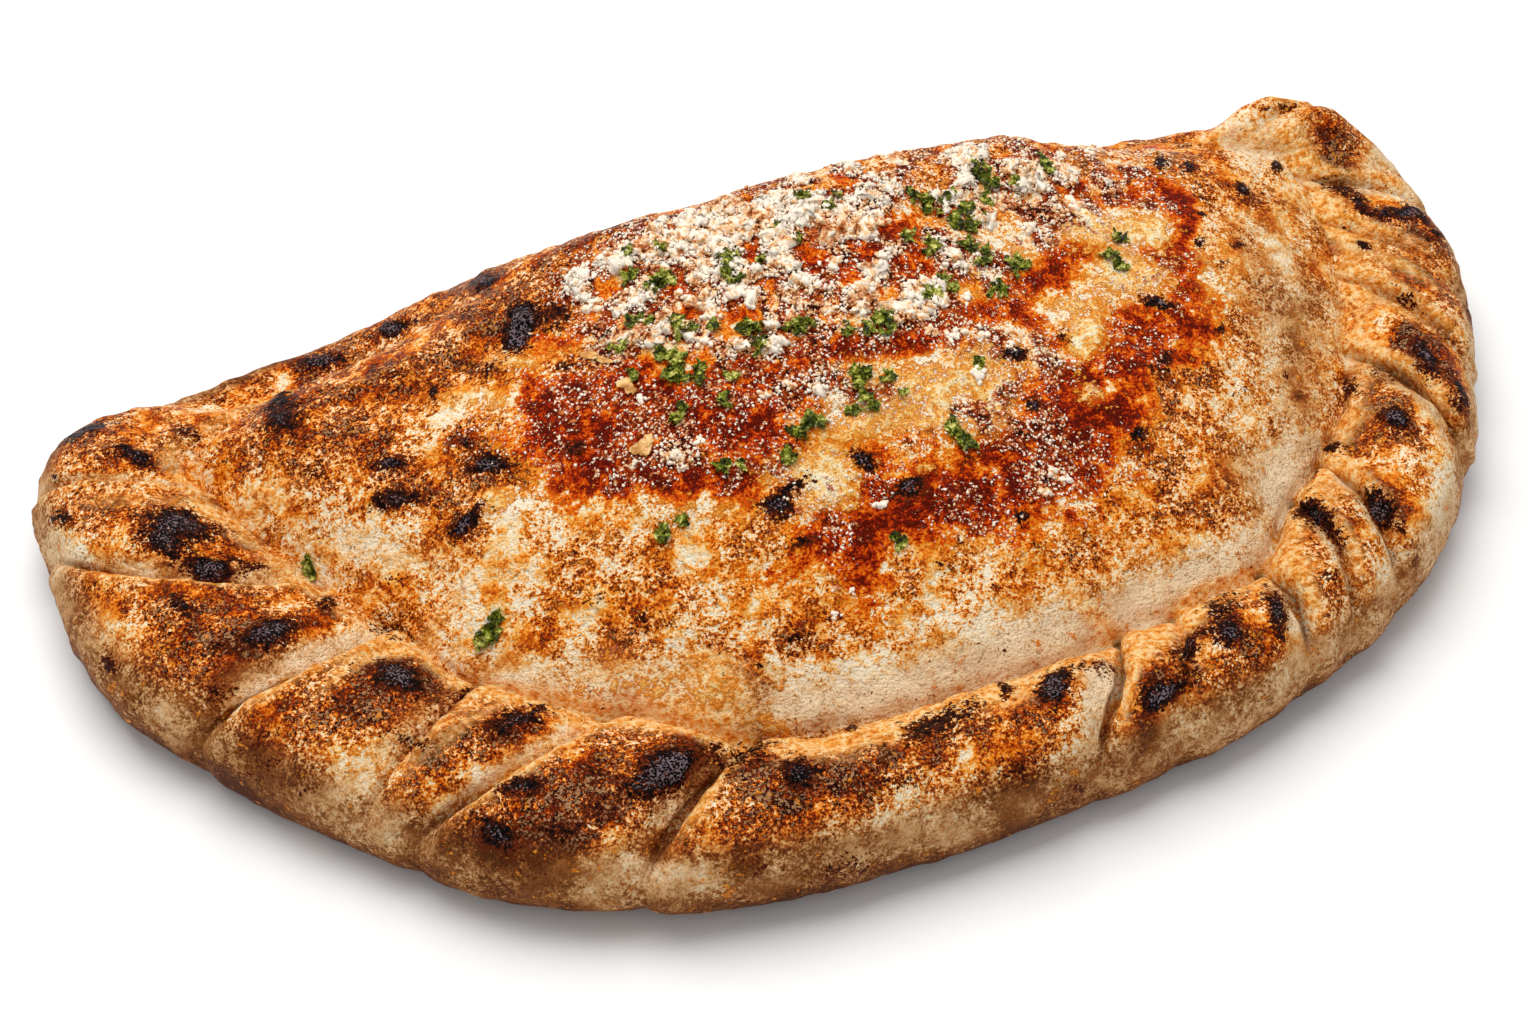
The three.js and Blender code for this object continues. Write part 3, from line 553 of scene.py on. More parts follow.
# Pale melted cheese and floury dough that lie over the browning and the sauce.
CREAM_MARKS = [
    (820, 478, 34, 18, 20, 0.9), (835, 500, 26, 10, 0, 0.7), (790, 470, 24, 12, 0, 0.6),
    (1000, 398, 12, 26, -25, 0.9), (960, 385, 40, 22, 0, 0.6), (880, 395, 50, 28, 0, 0.65),
    (850, 430, 34, 16, 0, 0.6), (945, 415, 40, 18, 0, 0.6), (1080, 222, 50, 15, -12, 0.9),
    (1130, 275, 44, 22, -10, 0.85), (1145, 232, 24, 17, 0, 0.9), (1085, 335, 20, 26, -40, 0.8),
    (1070, 305, 30, 10, 0, 0.55), (990, 350, 30, 20, 0, 0.65), (1040, 355, 26, 10, 0, 0.4),
    (1095, 395, 20, 10, 0, 0.6), (1010, 250, 36, 16, 0, 0.5), (930, 300, 60, 14, 0, 0.35),
    (500, 503, 28, 14, 0, 0.6), (510, 362, 28, 6, -5, 0.7), (480, 400, 44, 8, 0, 0.5),
    (700, 510, 60, 12, 0, 0.35), (1000, 425, 34, 12, 0, 0.5), (925, 470, 10, 6, 0, 0.5),
    (705, 690, 24, 12, 0, 0.6), (640, 685, 34, 12, -10, 0.45), (600, 690, 30, 10, 0, 0.4),
    (772, 730, 14, 9, 0, 0.6), (1215, 270, 26, 40, -20, 0.3), (770, 480, 16, 8, 0, 0.4),
]
# Where the edges of the folds stand up: golden, with a painted highlight where they catch the lamp.
LIP_HIGHLIGHTS = [
    (400, 652, 45, 7, 5, 0.9), (350, 668, 40, 6, 35, 0.6), (520, 690, 50, 7, -12, 0.8),
    (585, 705, 35, 6, -20, 0.9), (470, 722, 40, 6, 35, 0.6), (540, 755, 60, 7, 32, 0.7),
    (640, 723, 50, 7, -4, 0.9), (705, 737, 40, 8, -20, 1.0), (748, 753, 18, 8, -30, 0.9),
    (803, 751, 24, 7, 15, 0.8), (850, 742, 40, 7, 10, 0.85), (920, 722, 50, 7, 15, 0.85),
    (1000, 696, 50, 7, 18, 0.8), (1070, 668, 40, 8, 22, 0.9), (1120, 645, 16, 8, 0, 0.8),
    (1150, 645, 20, 7, 40, 0.8), (1190, 604, 30, 7, 45, 0.9), (1240, 578, 40, 7, 20, 0.9),
    (1290, 560, 16, 7, 0, 0.7), (150, 500, 70, 6, -8, 0.6), (240, 525, 40, 6, -20, 0.6),
    (300, 588, 50, 6, -8, 0.6), (1330, 500, 24, 6, 30, 0.6), (1390, 300, 40, 6, -30, 0.5),
    (1295, 125, 30, 14, -60, 0.6), (1345, 232, 50, 8, -15, 0.75), (1400, 262, 50, 8, -22, 0.75),
    (1300, 200, 40, 9, -30, 0.6), (1345, 290, 40, 8, -20, 0.6), (1355, 345, 34, 9, -30, 0.7),
    (1310, 160, 30, 8, -20, 0.5), (1330, 430, 24, 8, 0, 0.5), (1400, 185, 30, 6, -35, 0.5),
    (1410, 300, 40, 6, -35, 0.6),
]
# Where the dough stayed soft and evenly tan.
CALM_MARKS = [
    (1290, 340, 34, 110, 8, 0.75), (1265, 470, 40, 40, 0, 0.7), (1220, 560, 70, 20, 25, 0.6),
    (1285, 150, 60, 24, -10, 0.6), (1375, 160, 18, 50, -40, 0.7), (1100, 610, 120, 24, 18, 0.5),
    (960, 680, 160, 22, 12, 0.55), (690, 692, 150, 24, -5, 0.55), (350, 545, 110, 24, -8, 0.5),
    (1330, 300, 40, 16, -15, 0.5), (1230, 270, 40, 50, 0, 0.35), (1350, 345, 24, 12, -30, 0.5),
]
# How thickly the grated cheese fell.
CHEESE_MARKS = [
    (700, 240, 90, 34, 10, 0.9), (800, 205, 90, 28, 10, 0.9), (900, 175, 80, 22, 5, 0.85),
    (985, 165, 70, 22, 0, 0.75), (690, 300, 70, 36, 0, 0.7), (780, 290, 80, 44, 0, 0.7),
    (880, 270, 80, 44, 0, 0.72), (960, 220, 80, 36, 0, 0.7), (1040, 200, 60, 26, 0, 0.7),
    (1100, 165, 60, 20, 0, 0.6), (600, 270, 30, 30, 20, 0.6), (610, 300, 34, 20, 0, 0.6),
    (730, 350, 70, 26, 0, 0.45), (840, 310, 70, 20, 0, 0.5), (920, 300, 60, 18, 0, 0.5),
    (1010, 250, 50, 20, 0, 0.4), (1110, 190, 50, 30, 0, 0.3), (660, 330, 80, 24, 0, 0.5),
    (800, 390, 60, 26, 0, 0.25), (880, 385, 60, 22, 0, 0.25), (640, 430, 110, 50, 0, 0.3),
    (680, 462, 60, 14, 0, 0.35), (1060, 360, 50, 26, 0, 0.3), (1030, 450, 90, 50, 0, 0.3),
    (960, 400, 60, 30, 0, 0.25), (990, 335, 40, 12, 0, 0.4), (930, 350, 40, 12, 0, 0.4),
    (560, 400, 50, 30, 0, 0.18), (1150, 260, 50, 50, 0, 0.14), (1130, 330, 60, 40, 0, 0.16),
    (930, 490, 90, 30, 0, 0.28), (860, 560, 80, 50, 0, 0.08),
]


# Chopped parsley: x and y of a pinch in image pixels, its radius, and how many pieces lie in it.
PARSLEY = [
    (803, 200, 12, 5), (827, 207, 7, 3), (838, 198, 4, 1), (980, 171, 13, 5), (990, 186, 11, 4),
    (1047, 171, 8, 4), (1042, 159, 5, 2), (1013, 182, 5, 2), (911, 196, 6, 3), (930, 206, 14, 9),
    (949, 194, 4, 1), (964, 208, 7, 3), (955, 221, 7, 4), (967, 224, 9, 4), (980, 221, 5, 2),
    (908, 235, 6, 2), (927, 247, 10, 5), (967, 247, 8, 4), (982, 258, 8, 4), (1017, 266, 10, 6),
    (941, 278, 5, 2), (949, 291, 6, 3), (930, 296, 10, 4), (996, 291, 9, 5), (986, 200, 5, 2),
    (885, 324, 12, 8), (847, 331, 8, 3), (867, 331, 5, 2), (794, 327, 9, 4), (805, 325, 9, 5),
    (861, 374, 10, 6), (855, 388, 7, 3), (889, 378, 7, 3), (902, 391, 6, 2), (872, 406, 6, 3),
    (853, 413, 6, 2), (814, 422, 9, 6), (800, 434, 9, 6), (789, 455, 8, 4), (953, 428, 7, 4),
    (961, 438, 8, 5), (968, 443, 5, 2), (977, 364, 6, 1), (1119, 239, 7, 3), (1110, 257, 5, 2),
    (1116, 263, 5, 2), (1121, 270, 5, 2), (632, 278, 7, 3), (655, 284, 11, 7), (667, 278, 6, 3),
    (630, 250, 7, 2), (661, 250, 5, 2), (728, 258, 8, 4), (727, 276, 9, 5), (740, 276, 6, 2),
    (647, 317, 8, 4), (630, 323, 7, 3), (674, 323, 9, 4), (692, 328, 8, 3), (677, 333, 6, 2),
    (713, 329, 5, 2), (746, 328, 8, 5), (760, 328, 6, 3), (758, 343, 8, 4), (617, 345, 10, 4),
    (658, 354, 8, 3), (674, 357, 9, 5), (677, 376, 12, 8), (699, 375, 9, 5), (730, 378, 7, 3),
    (635, 376, 5, 2), (681, 409, 5, 3), (676, 419, 5, 3), (725, 400, 7, 2), (727, 468, 9, 5),
    (742, 467, 6, 3), (666, 532, 8, 5), (683, 518, 4, 2), (774, 232, 6, 2), (796, 239, 5, 2),
    (899, 542, 9, 4), (482, 645, 6, 3), (490, 634, 8, 5), (499, 618, 6, 3), (309, 563, 5, 3),
    (311, 572, 5, 3), (757, 260, 6, 2), (865, 395, 4, 1),
]
# Fried garlic: x, y, half-length and half-width in pixels, and its angle.
GARLIC = [
    (624, 384, 6, 5, 30), (631, 390, 6, 5, 60), (638, 448, 8, 6, 25), (649, 442, 8, 5, 60),
    (645, 452, 6, 5, 0), (590, 356, 11, 4, -12), (605, 361, 9, 3, -20), (1330, 348, 4, 3, 0),
]
# Larger nuggets of the grated cheese: x, y and radius in pixels.
NUGGETS = [
    (739, 293, 12), (905, 307, 11), (978, 375, 8), (967, 297, 7), (828, 311, 7), (620, 309, 8),
    (592, 308, 9), (617, 258, 8), (586, 276, 8), (688, 300, 9), (712, 316, 8), (705, 340, 7), (800, 180, 9),
    (845, 215, 10), (880, 222, 8), (760, 215, 9), (735, 225, 9), (700, 235, 9), (780, 262, 8),
    (835, 262, 9), (870, 195, 8), (900, 160, 9), (960, 160, 8), (1000, 205, 9), (1025, 225, 8),
    (1070, 205, 9), (1090, 150, 8), (1060, 160, 8), (960, 262, 8), (870, 285, 9), (885, 255, 7),
    (930, 332, 7), (955, 336, 7), (980, 335, 7), (790, 385, 7), (750, 303, 7), (1010, 345, 5),
    (1045, 492, 7), (880, 505, 6), (835, 590, 4), (852, 592, 4), (835, 615, 4), (1065, 480, 5),
    (1050, 470, 5), (765, 395, 6), (640, 400, 5), (700, 440, 5),
]
MARK_SEED = 31
MARK_FADE = 0.8  # at its edge, a mark has faded to 1 / e to this power
# The edge of each kind of mark: the size of its bends, in mm, how far they reach, and how sharp it is.
EDGES = {
    "calm": (14, 0.35, 1.0), "lip": (9, 0.35, 1.1), "toast": (14, 0.35, 1.0), "char": (5, 0.45, 1.15),
    "ring": (7, 0.4, 1.0), "sauce": (6, 0.5, 1.2), "cream": (6, 0.45, 1.2), "cheese": (12, 0.35, 1.1),
}
SAME_SIDE = (0.35, 0.8)  # how alike two facings are, as the cosine between them, from not at all to fully
REACH_THROUGH = 16  # mm: a mark doesn't reach skin further than this from the plane it lies in
CHAR_RINGS = [(1.25, 0.32), (2.0, 0.16)]  # browning round each charred mark: how far out, and how strong
RING_MARGIN, FULL_RING = 3, 16  # pixels: added to a ring's reach; size of mark from which rings are strongest
HIDDEN_SIDE_CHARS = 40  # further blisters on the sides that face away from the camera
BLISTER_REACH = (2.0, 6.5)  # mm: of the smallest, and how much further the largest reaches
BLISTER_SHAPE = ([0.9, 0.35, 0.5], [1.1, 0.8, 1.0])  # shares of that reach along its three axes, from and to
BLISTER_STRENGTH = (0.3, 1.0)
BLISTER_BENDS, BLISTER_NICKS = (4, 33, 0.5), (1.8, 35, 0.3)  # of its edge: size in mm, seed and reach
BLISTER_SHARPNESS = 1.2
BLISTER_RING = (2.1, 0.3)  # browning round a blister: how far out, and how strong
OUT_OF_SIGHT = 0.05  # skin whose facing has less of the camera's direction than this is on the far side
BLISTERS_ABOVE = 5  # mm above the table
BLISTER_SEED = 77


# ---------------------------------------------------------------- laying the marks on the crust
def ellipse_on_skin(finder, mark, normal):
    """Two directions whose products with a step on the skin are 1 at the ends of a mark."""
    x, y, half_length, half_width, angle = mark[:5]
    along, across = finder.axes(x, y, angle, normal)
    return np.linalg.inv(np.column_stack([along * half_length, across * half_width, normal]))[:2]


def paint(skin, finder, marks, edge, adding=False, same_side=False):
    """Strength of a set of marks at every point of the skin, with edges that wander. Marks kept to the same
    side don't reach skin that faces another way than the place they lie at."""
    points = skin.points.reshape(-1, 3)
    normals = skin.normals().reshape(-1, 3)
    bend_size, reach, sharpness = edge
    wandering = 1 + reach * layered(points, bend_size, MARK_SEED)
    total = np.zeros(len(points))
    for mark in marks:
        place, normal = finder.find(mark[0], mark[1])
        if place is None:
            continue
        along, across = ellipse_on_skin(finder, mark, normal)
        rel = points - place
        distance = np.hypot(rel @ along, rel @ across) * wandering
        near = np.abs(rel @ normal) < REACH_THROUGH
        weight = np.where(near, np.exp(-(distance ** (2 * sharpness)) * MARK_FADE), 0) * mark[5]
        if same_side:
            weight = weight * smoothstep(normals @ normal, *SAME_SIDE)
        total = total + weight if adding else total + (1 - total) * np.clip(weight, 0, 1)
    return total.reshape(skin.along.shape)


def rings(wide):
    """The charred marks grown to rings of browning, weaker round the small ones."""
    grown = []
    for x, y, length, width, angle, strength in CHAR_MARKS:
        strength *= min(1, math.sqrt(length * width) / FULL_RING)
        grown.append((x, y, wide * length + RING_MARGIN, wide * width + RING_MARGIN, angle, strength))
    return grown


def hidden_chars(skin, random):
    """Blisters on the far side of the crust, like those on the near side: places, sizes and strengths."""
    away = (skin.normals() @ BACK < OUT_OF_SIGHT) & (skin.points[..., 2] > BLISTERS_ABOVE)
    found = np.argwhere(away)
    picked = found[random.choice(len(found), HIDDEN_SIDE_CHARS, replace=False)]
    blisters = []
    for r, c in picked:
        longest = BLISTER_REACH[0] + BLISTER_REACH[1] * random.uniform() ** 2
        turn = np.linalg.qr(random.normal(size=(3, 3)))[0]
        reach = longest * random.uniform(*BLISTER_SHAPE)
        blisters.append((skin.points[r, c], turn / reach[:, None], random.uniform(*BLISTER_STRENGTH)))
    return blisters


def paint_hidden(skin, blisters, spread=1.0):
    """Strength of the far side's blisters at every point of the skin, each grown by the spread."""
    points = skin.points.reshape(-1, 3)
    wandering = 1 + BLISTER_BENDS[2] * layered(points, *BLISTER_BENDS[:2])
    wandering += BLISTER_NICKS[2] * grain(points, *BLISTER_NICKS[:2])
    total = np.zeros(len(points))
    for place, axes, strength in blisters:
        distance = np.linalg.norm((points - place) @ axes.T, axis=1) / spread * wandering
        shown = np.exp(-(distance ** (2 * BLISTER_SHARPNESS)) * MARK_FADE)
        total += (1 - total) * strength * shown
    return total.reshape(skin.along.shape)


FAINT_CREASE, FIRM_CREASE = 0.8, 3.5  # mm deep: the first leaves no line in the crust, the second a full one
BELLY_REACH, OFF_THE_RIM = 72, -40  # mm from the groove: of the ridge, and of the side and the underside
SEAM_START, SEAM_FADE = (0.05, 0.5), 0.4  # a seam starts low on the side and fades towards the groove


def fold_position(along, share):
    """How far each point is through its fold, from 0 at the crease behind it to 1 at the next, how far past
    the nearest crease it lies, in mm, and how firm that crease is, from 0 to 1."""
    position, nearest, firm = np.zeros_like(along), np.full(along.shape, 1e9), np.zeros_like(along)
    ends = CREASES + [(CREASES[0][0] + PERIMETER, CREASES[0][1] + PERIMETER, CREASES[0][2])]
    for (outer, inner, depth), (next_outer, next_inner, _) in zip(ends, ends[1:]):
        start, end = lerp(outer, inner, share), lerp(next_outer, next_inner, share)
        firmness = np.clip((depth - FAINT_CREASE) / (FIRM_CREASE - FAINT_CREASE), 0, 1)
        for turn in (0, PERIMETER):
            gap = along + turn - start
            position = np.where((gap >= 0) & (along + turn < end), gap / (end - start), position)
            closer = np.abs(gap) < np.abs(nearest)
            nearest = np.where(closer, gap, nearest)
            firm = np.where(closer, firmness, firm)
    return position, nearest, firm


def groove_distance(skin):
    """Distance of each point from the groove, in mm: negative on the rim, positive on the belly."""
    on_rim = -(1 - skin.t) * (1 - ROLL_SHARE) * keyed(RIM_WIDTHS, skin.along)
    on_belly = np.where(skin.in_band("belly"), skin.t * BELLY_REACH, OFF_THE_RIM)
    return np.where(skin.in_band("fall"), on_rim, on_belly)


def groove_clearness(skin):
    """1 where the groove is a sharp line, 0 where it is a soft dip."""
    return smoothstep(skin.along, *GROOVE_CLEAR[:2]) * (1 - smoothstep(skin.along, *GROOVE_CLEAR[2:]))


def bell(distance, reach):
    """1 in the middle, fading over the reach."""
    return np.exp(-((distance / reach) ** 2))


def seam_strength(skin, from_crease, firm, width):
    """How near each point is to the line where two folds meet: 1 on it, fading over the width."""
    on_side = np.where(skin.in_band("side"), smoothstep(skin.t, *SEAM_START), 0)
    along_seam = np.where(skin.in_band("fall"), 1 - SEAM_FADE * skin.t**3, on_side)
    return bell(from_crease, width) * crimped(skin.along) * firm * along_seam


# Where each look lies: as a share of the way up the side, or of the way through a fold, or in mm.
# The second pair: how far up the side the soft dough's colour reaches, darker there as painted shade.
ROLL_TOP, SOFT_SHADED_WALL = (0.35, 0.8), (0.25, 0.7)
LOBE_IN, LOBE_OUT, VALLEY = (0.04, 0.25), (0.5, 0.82), (0.7, 0.92)
# Painted highlight on the lips of the folds and of the rim: where it lies and how wide it is, in mm.
LIP_PLACE, LIP_WIDTH = 2.4, 2.2
INNER_LIP_PLACE, INNER_LIP_WIDTH = -3.2, 2.8
SHELF_WIDTH, SEAM_WIDTH = 7, 0.7
# At most how strongly each shows: the shelf's soft colour, the lips' gold and painted highlight, and the
# painted shade along the seams and the groove.
SOFT_SHELF, LIP_HIGHLIGHT_SHOWS, SEAM_SHADE_SHOWS, GROOVE_SHADE_SHOWS = 0.45, 0.9, 0.85, 0.45
LIP_ON_A_DIP = 0.6  # share of the inner lip that shows where the groove is a soft dip
FOLD_FRONT = (0.5, 0.95)
# Heights in mm over which the dough darkens towards the table: partly browning, partly painted shade low on
# the side.
FOOT_BROWNING_AND_SHADE = (1, 16)
# How much browner each makes the dough, on a scale from 0, pale, to 1, nearly black. The foot's share is
# partly browning where the dough met the stone and partly painted shade low on the side.
TOAST = {
    "anywhere": 0.33, "roll": 0.1, "valley": -0.26, "shelf": -0.1, "fold": 0.14, "foot": 0.42, "marks": 0.7,
}
TOAST_WAVES = [(22, 5, 0.16), (8, 6, 0.14)]  # size in mm, seed, strength
MOST_TOAST = 1.2
CHEESE_CLUMPS = [(5.5, 71, 3, 2.6), (12, 73, 1, 0.5)]  # size in mm, seed, layers, strength
MOST_CHEESE = 1.6


class Looks:
    """What each point of the crust looks like: its browning, char, sauce, melted cheese and so on."""

    def __init__(self, skin, finder):
        random = np.random.RandomState(BLISTER_SEED)
        points = skin.points.reshape(-1, 3)
        shape = skin.along.shape
        rim = crimped(skin.along)
        t = skin.t * np.ones(shape)
        side, fall, belly, under = (skin.in_band(band) for band in ("side", "fall", "belly", "under"))
        position, from_crease, firm = fold_position(skin.along, skin.share)
        from_groove = groove_distance(skin)
        clear = groove_clearness(skin)

        # The rolls of the rim brown on top; the dough between two folds stays pale. Low on the side it takes
        # the soft dough's duller, darker colour, which there is partly painted shade.
        high = np.where(side, smoothstep(t, *ROLL_TOP), 0) + np.where(fall, 1, 0)
        lobe = smoothstep(position, *LOBE_IN) * (1 - smoothstep(position, *LOBE_OUT))
        valley = smoothstep(position, *VALLEY) * rim * firm * high
        # Painted highlight, golden, along the raised edge of each fold and along the rim's lip over the
        # groove.
        lip = bell(from_crease - LIP_PLACE, LIP_WIDTH) * rim * firm * high
        inner_lip = bell(from_groove - INNER_LIP_PLACE, INNER_LIP_WIDTH) * rim * lerp(LIP_ON_A_DIP, 1, clear)
        shelf = np.where(belly, bell(from_groove, SHELF_WIDTH), 0) * rim * clear
        soft_shaded_wall = np.where(under, 1, np.where(side, 1 - smoothstep(t, *SOFT_SHADED_WALL), 0)) * np.ones(shape)
        # Darker towards the table: partly browned dough, partly painted shade low on the side.
        foot = 1 - smoothstep(skin.points[..., 2], *FOOT_BROWNING_AND_SHADE)
        toast = TOAST["anywhere"] + rim * np.where(belly | under, 0, high * TOAST["roll"] * lobe)
        toast += TOAST["valley"] * valley + TOAST["shelf"] * shelf
        toast += sum(most * layered(points, size, seed) for size, seed, most in TOAST_WAVES).reshape(shape)
        toast += TOAST["fold"] * (1 - rim) * np.where(belly, 1 - smoothstep(t, *FOLD_FRONT), 1)
        toast += TOAST["foot"] * foot
        even = paint(skin, finder, CALM_MARKS, EDGES["calm"])
        # Soft dough colour: the dough's own in the valleys, on the shelf and in calm places; partly painted
        # shade on the low sides.
        self.soft = np.clip(valley + soft_shaded_wall + SOFT_SHELF * shelf + even, 0, 1)
        # Golden colour and painted highlight on the lips, from the listed marks and from the folds.
        glaze_and_highlight = paint(skin, finder, LIP_HIGHLIGHTS, EDGES["lip"])
        self.lip = LIP_HIGHLIGHT_SHOWS * np.clip(lip + inner_lip + glaze_and_highlight, 0, 1)
        # Painted shade: a dark line along the groove and along the seams where two folds meet.
        groove_shade_line = bell(from_groove, SEAM_WIDTH) * rim * clear
        seams = seam_strength(skin, from_crease, firm, SEAM_WIDTH)
        self.seam_shade = np.clip(SEAM_SHADE_SHOWS * seams + GROOVE_SHADE_SHOWS * groove_shade_line, 0, 1)

        blisters = hidden_chars(skin, random)
        self.char = paint(skin, finder, CHAR_MARKS, EDGES["char"], same_side=True)
        self.char = self.char + (1 - self.char) * paint_hidden(skin, blisters)
        halo = sum(
            most * paint(skin, finder, rings(wide), EDGES["ring"], same_side=True)
            for wide, most in CHAR_RINGS
        )
        halo += BLISTER_RING[1] * paint_hidden(skin, blisters, spread=BLISTER_RING[0])
        browned = paint(skin, finder, TOAST_MARKS, EDGES["toast"], adding=True)
        toast += TOAST["marks"] * browned + halo
        self.toast = np.clip(toast, 0, MOST_TOAST)
        self.sauce = paint(skin, finder, SAUCE_MARKS, EDGES["sauce"])
        self.cream = paint(skin, finder, CREAM_MARKS, EDGES["cream"])
        clumps = 1 + sum(most * layered(points, *wave) for *wave, most in CHEESE_CLUMPS).reshape(shape)
        strewn = paint(skin, finder, CHEESE_MARKS, EDGES["cheese"])
        self.cheese = np.clip(strewn * clumps, 0, MOST_CHEESE)
        self.soft *= 1 - np.clip(self.sauce + self.cream + self.cheese, 0, 1)

    def fields(self):
        """Each look under the name by which the crust's material and the scatters read it."""
        return {
            "toast": self.toast, "char": self.char, "sauce": self.sauce, "cream": self.cream,
            "cheese": self.cheese, "soft": self.soft, "seam_shade": self.seam_shade, "lip": self.lip,
        }


# Lumps of the dough, and of its belly alone: size, seed, layers and height, in mm.
DOUGH_LUMPS = [(26, 3, 2, 0.7), (8, 11, 2, 0.55), (3.4, 21, 1, 0.28), (1.9, 22, 1, 0.2)]
BELLY_LUMPS = (2.8, 25, 2, 0.3)
# What lies on the dough or swells up from it: how far it stands up, and its lumps in the same way.
COVERS = {
    "char": (0.7, 2.4, 41, 1, 0.35), "sauce": (0.25, 4, 44, 1, 0.2),
    "cream": (0.6, 5, 51, 2, 0.5), "cheese": (0.5, 2.6, 52, 2, 0.5),
}
STRETCH_MARKS = 0.2  # mm high
COARSE_STRETCH, FINE_STRETCH = (2.4, 22, 9), (1.3, 14, 6)  # mm along the rim, across it and up
RIM_LIP = (0.5, 1.1)  # mm high: where the groove is a soft dip, and where it is sharp
GROOVE_DEPTH, FOLD_LIP, SEAM_DEPTH = 1.1, 0.7, 1.5  # mm
# Where each lies, in mm from the groove or past the nearest crease, and how wide it is.
RIM_LIP_LIES, GROOVE_LIES, FOLD_LIP_LIES = (-4, 2.6), (0.3, 0.9), (3, 1.8)
SEAM_CUT = 0.8  # mm wide
RIM_SPAN, HEIGHT_SPAN = 30, 0.3  # mm that the rim's width counts for in the wrinkles, and share of the height
FLAT_BELOW = 6  # mm above the table, where the relief starts to fade towards the flat underside


def raise_relief(skin, looks):
    """Moves the skin along its normals: waves, blisters, folds' seams and wrinkles, sauce, melted cheese."""
    points = skin.points.reshape(-1, 3)
    shape = skin.along.shape
    rim = crimped(skin.along)
    rolled = np.where(skin.in_band("side") | skin.in_band("fall"), 1, 0)
    _, from_crease, firm = fold_position(skin.along, skin.share)
    from_groove = groove_distance(skin)

    def lumps(size, seed, layers, high):
        return high * layered(points, size, seed, layers).reshape(shape)

    height = sum(lumps(*wave) for wave in DOUGH_LUMPS)
    height += np.where(skin.in_band("belly"), 1, 0) * lumps(*BELLY_LUMPS)
    fields = looks.fields()
    for name, (rise, *wave) in COVERS.items():
        height += fields[name] * (rise + lumps(*wave))

    # Stretch marks run across the rim, along the folds.
    spread = [skin.along, skin.share * RIM_SPAN, skin.points[..., 2] * HEIGHT_SPAN]
    across = np.stack(spread, axis=-1).reshape(-1, 3)
    wrinkles = grain(across, COARSE_STRETCH, 61) + 0.6 * grain(across, FINE_STRETCH, 62)
    height += rim * rolled * STRETCH_MARKS * wrinkles.reshape(shape)

    # The rim laps over the belly in a full lip with a narrow groove behind it, and each fold over the next.
    clear = groove_clearness(skin)
    height += lerp(*RIM_LIP, clear) * bell(from_groove - RIM_LIP_LIES[0], RIM_LIP_LIES[1]) * rim
    height -= GROOVE_DEPTH * bell(from_groove - GROOVE_LIES[0], GROOVE_LIES[1]) * rim * clear
    height += FOLD_LIP * bell(from_crease - FOLD_LIP_LIES[0], FOLD_LIP_LIES[1]) * rim * firm * rolled
    height -= SEAM_DEPTH * seam_strength(skin, from_crease, firm, SEAM_CUT)

    height *= smoothstep(skin.points[..., 2], 0, FLAT_BELOW)
    skin.points = skin.points + skin.normals() * height[..., None]


# ---------------------------------------------------------------- meshes
def new_piece(name, points, faces, material, smooth=True):
    """A piece of one material, from points in mm."""
    mesh = bpy.data.meshes.new(name)
    mesh.from_pydata([tuple(p * MM) for p in points], [], faces)
    mesh.update()
    mesh.materials.append(material)
    mesh.polygons.foreach_set("use_smooth", [smooth] * len(mesh.polygons))
    piece = bpy.data.objects.new(name, mesh)
    bpy.context.scene.collection.objects.link(piece)
    return piece


def add_field(piece, name, values):
    """A number at each of a piece's points, which its material and the scatters read by name."""
    attribute = piece.data.attributes.new(name, "FLOAT", "POINT")
    attribute.data.foreach_set("value", np.asarray(values, np.float32).reshape(-1))


LUMP_GRAIN = (0.42, 5, 3)  # size of a lump's unevenness, for a lump 1 across, its seed and its layers
LEAF_SPOKES, LEAF_RINGS, LEAF_THICKNESS = 10, 2, 0.16
LEAF_SIZE = (1.1, 2.3)  # mm, half its length
# For a leaf whose half-length is 1: how far out its edge lies, how deep its lobes are, and how torn they are.
LEAF_EDGE, LEAF_LOBES, LEAF_TORN = 0.72, 0.22, 0.16
FEWEST_LOBES, MOST_LOBES = 3, 5
LEAF_WIDTH, LEAF_CURL, LEAF_WAVE = (0.5, 0.9), (-0.5, 0.9), (0.12, 0.3)
UNEVEN_SPOKES, LEAF_CRUMPLE = 0.12, 0.06
LEAVES_A_PIECE = 1.5
PINCH_FILL = 0.85  # share of a pinch's radius that its leaves lie in
PARSLEY_LIFT = (0.3, 0.9)  # mm
NUGGET_LUMPS, NUGGET_SPREAD = 9, (0.5, 0.4)
NUGGET_SIZE, NUGGET_SHAPE, NUGGET_LIFT = (0.45, 1.05), (1.2, 0.9, 0.7), (0, 0.25)  # shares of its radius
GARLIC_BEND, GARLIC_FLATNESS = 0.8, 0.3
GARLIC_LIFT = 0.3  # mm
NUGGET_UNEVEN, GARLIC_UNEVEN = 0.9, 1.1
TILT = 0.5  # at most added along each axis to a normal of length 1, so that a leaf or a lump leans


def shaped_lump(random, unevenness):
    """Corners and faces of an uneven lump about 1 across."""
    form = bmesh.new()
    bmesh.ops.create_icosphere(form, subdivisions=2, radius=0.5)
    corners = np.array([v.co[:] for v in form.verts])
    faces = [tuple(v.index for v in f.verts) for f in form.faces]
    form.free()
    swell = 1 + unevenness * layered(corners + random.uniform(0, 50, 3), *LUMP_GRAIN)
    return corners * swell[:, None], faces


def turned(random, normal):
    """A frame whose last axis is the normal, a little tilted, turned at random about it."""
    lean = normal + TILT * random.uniform(-1, 1, 3)
    lean /= np.linalg.norm(lean)
    side = np.cross(lean, random.normal(size=3))
    side /= np.linalg.norm(side)
    return np.array([side, np.cross(lean, side), lean])


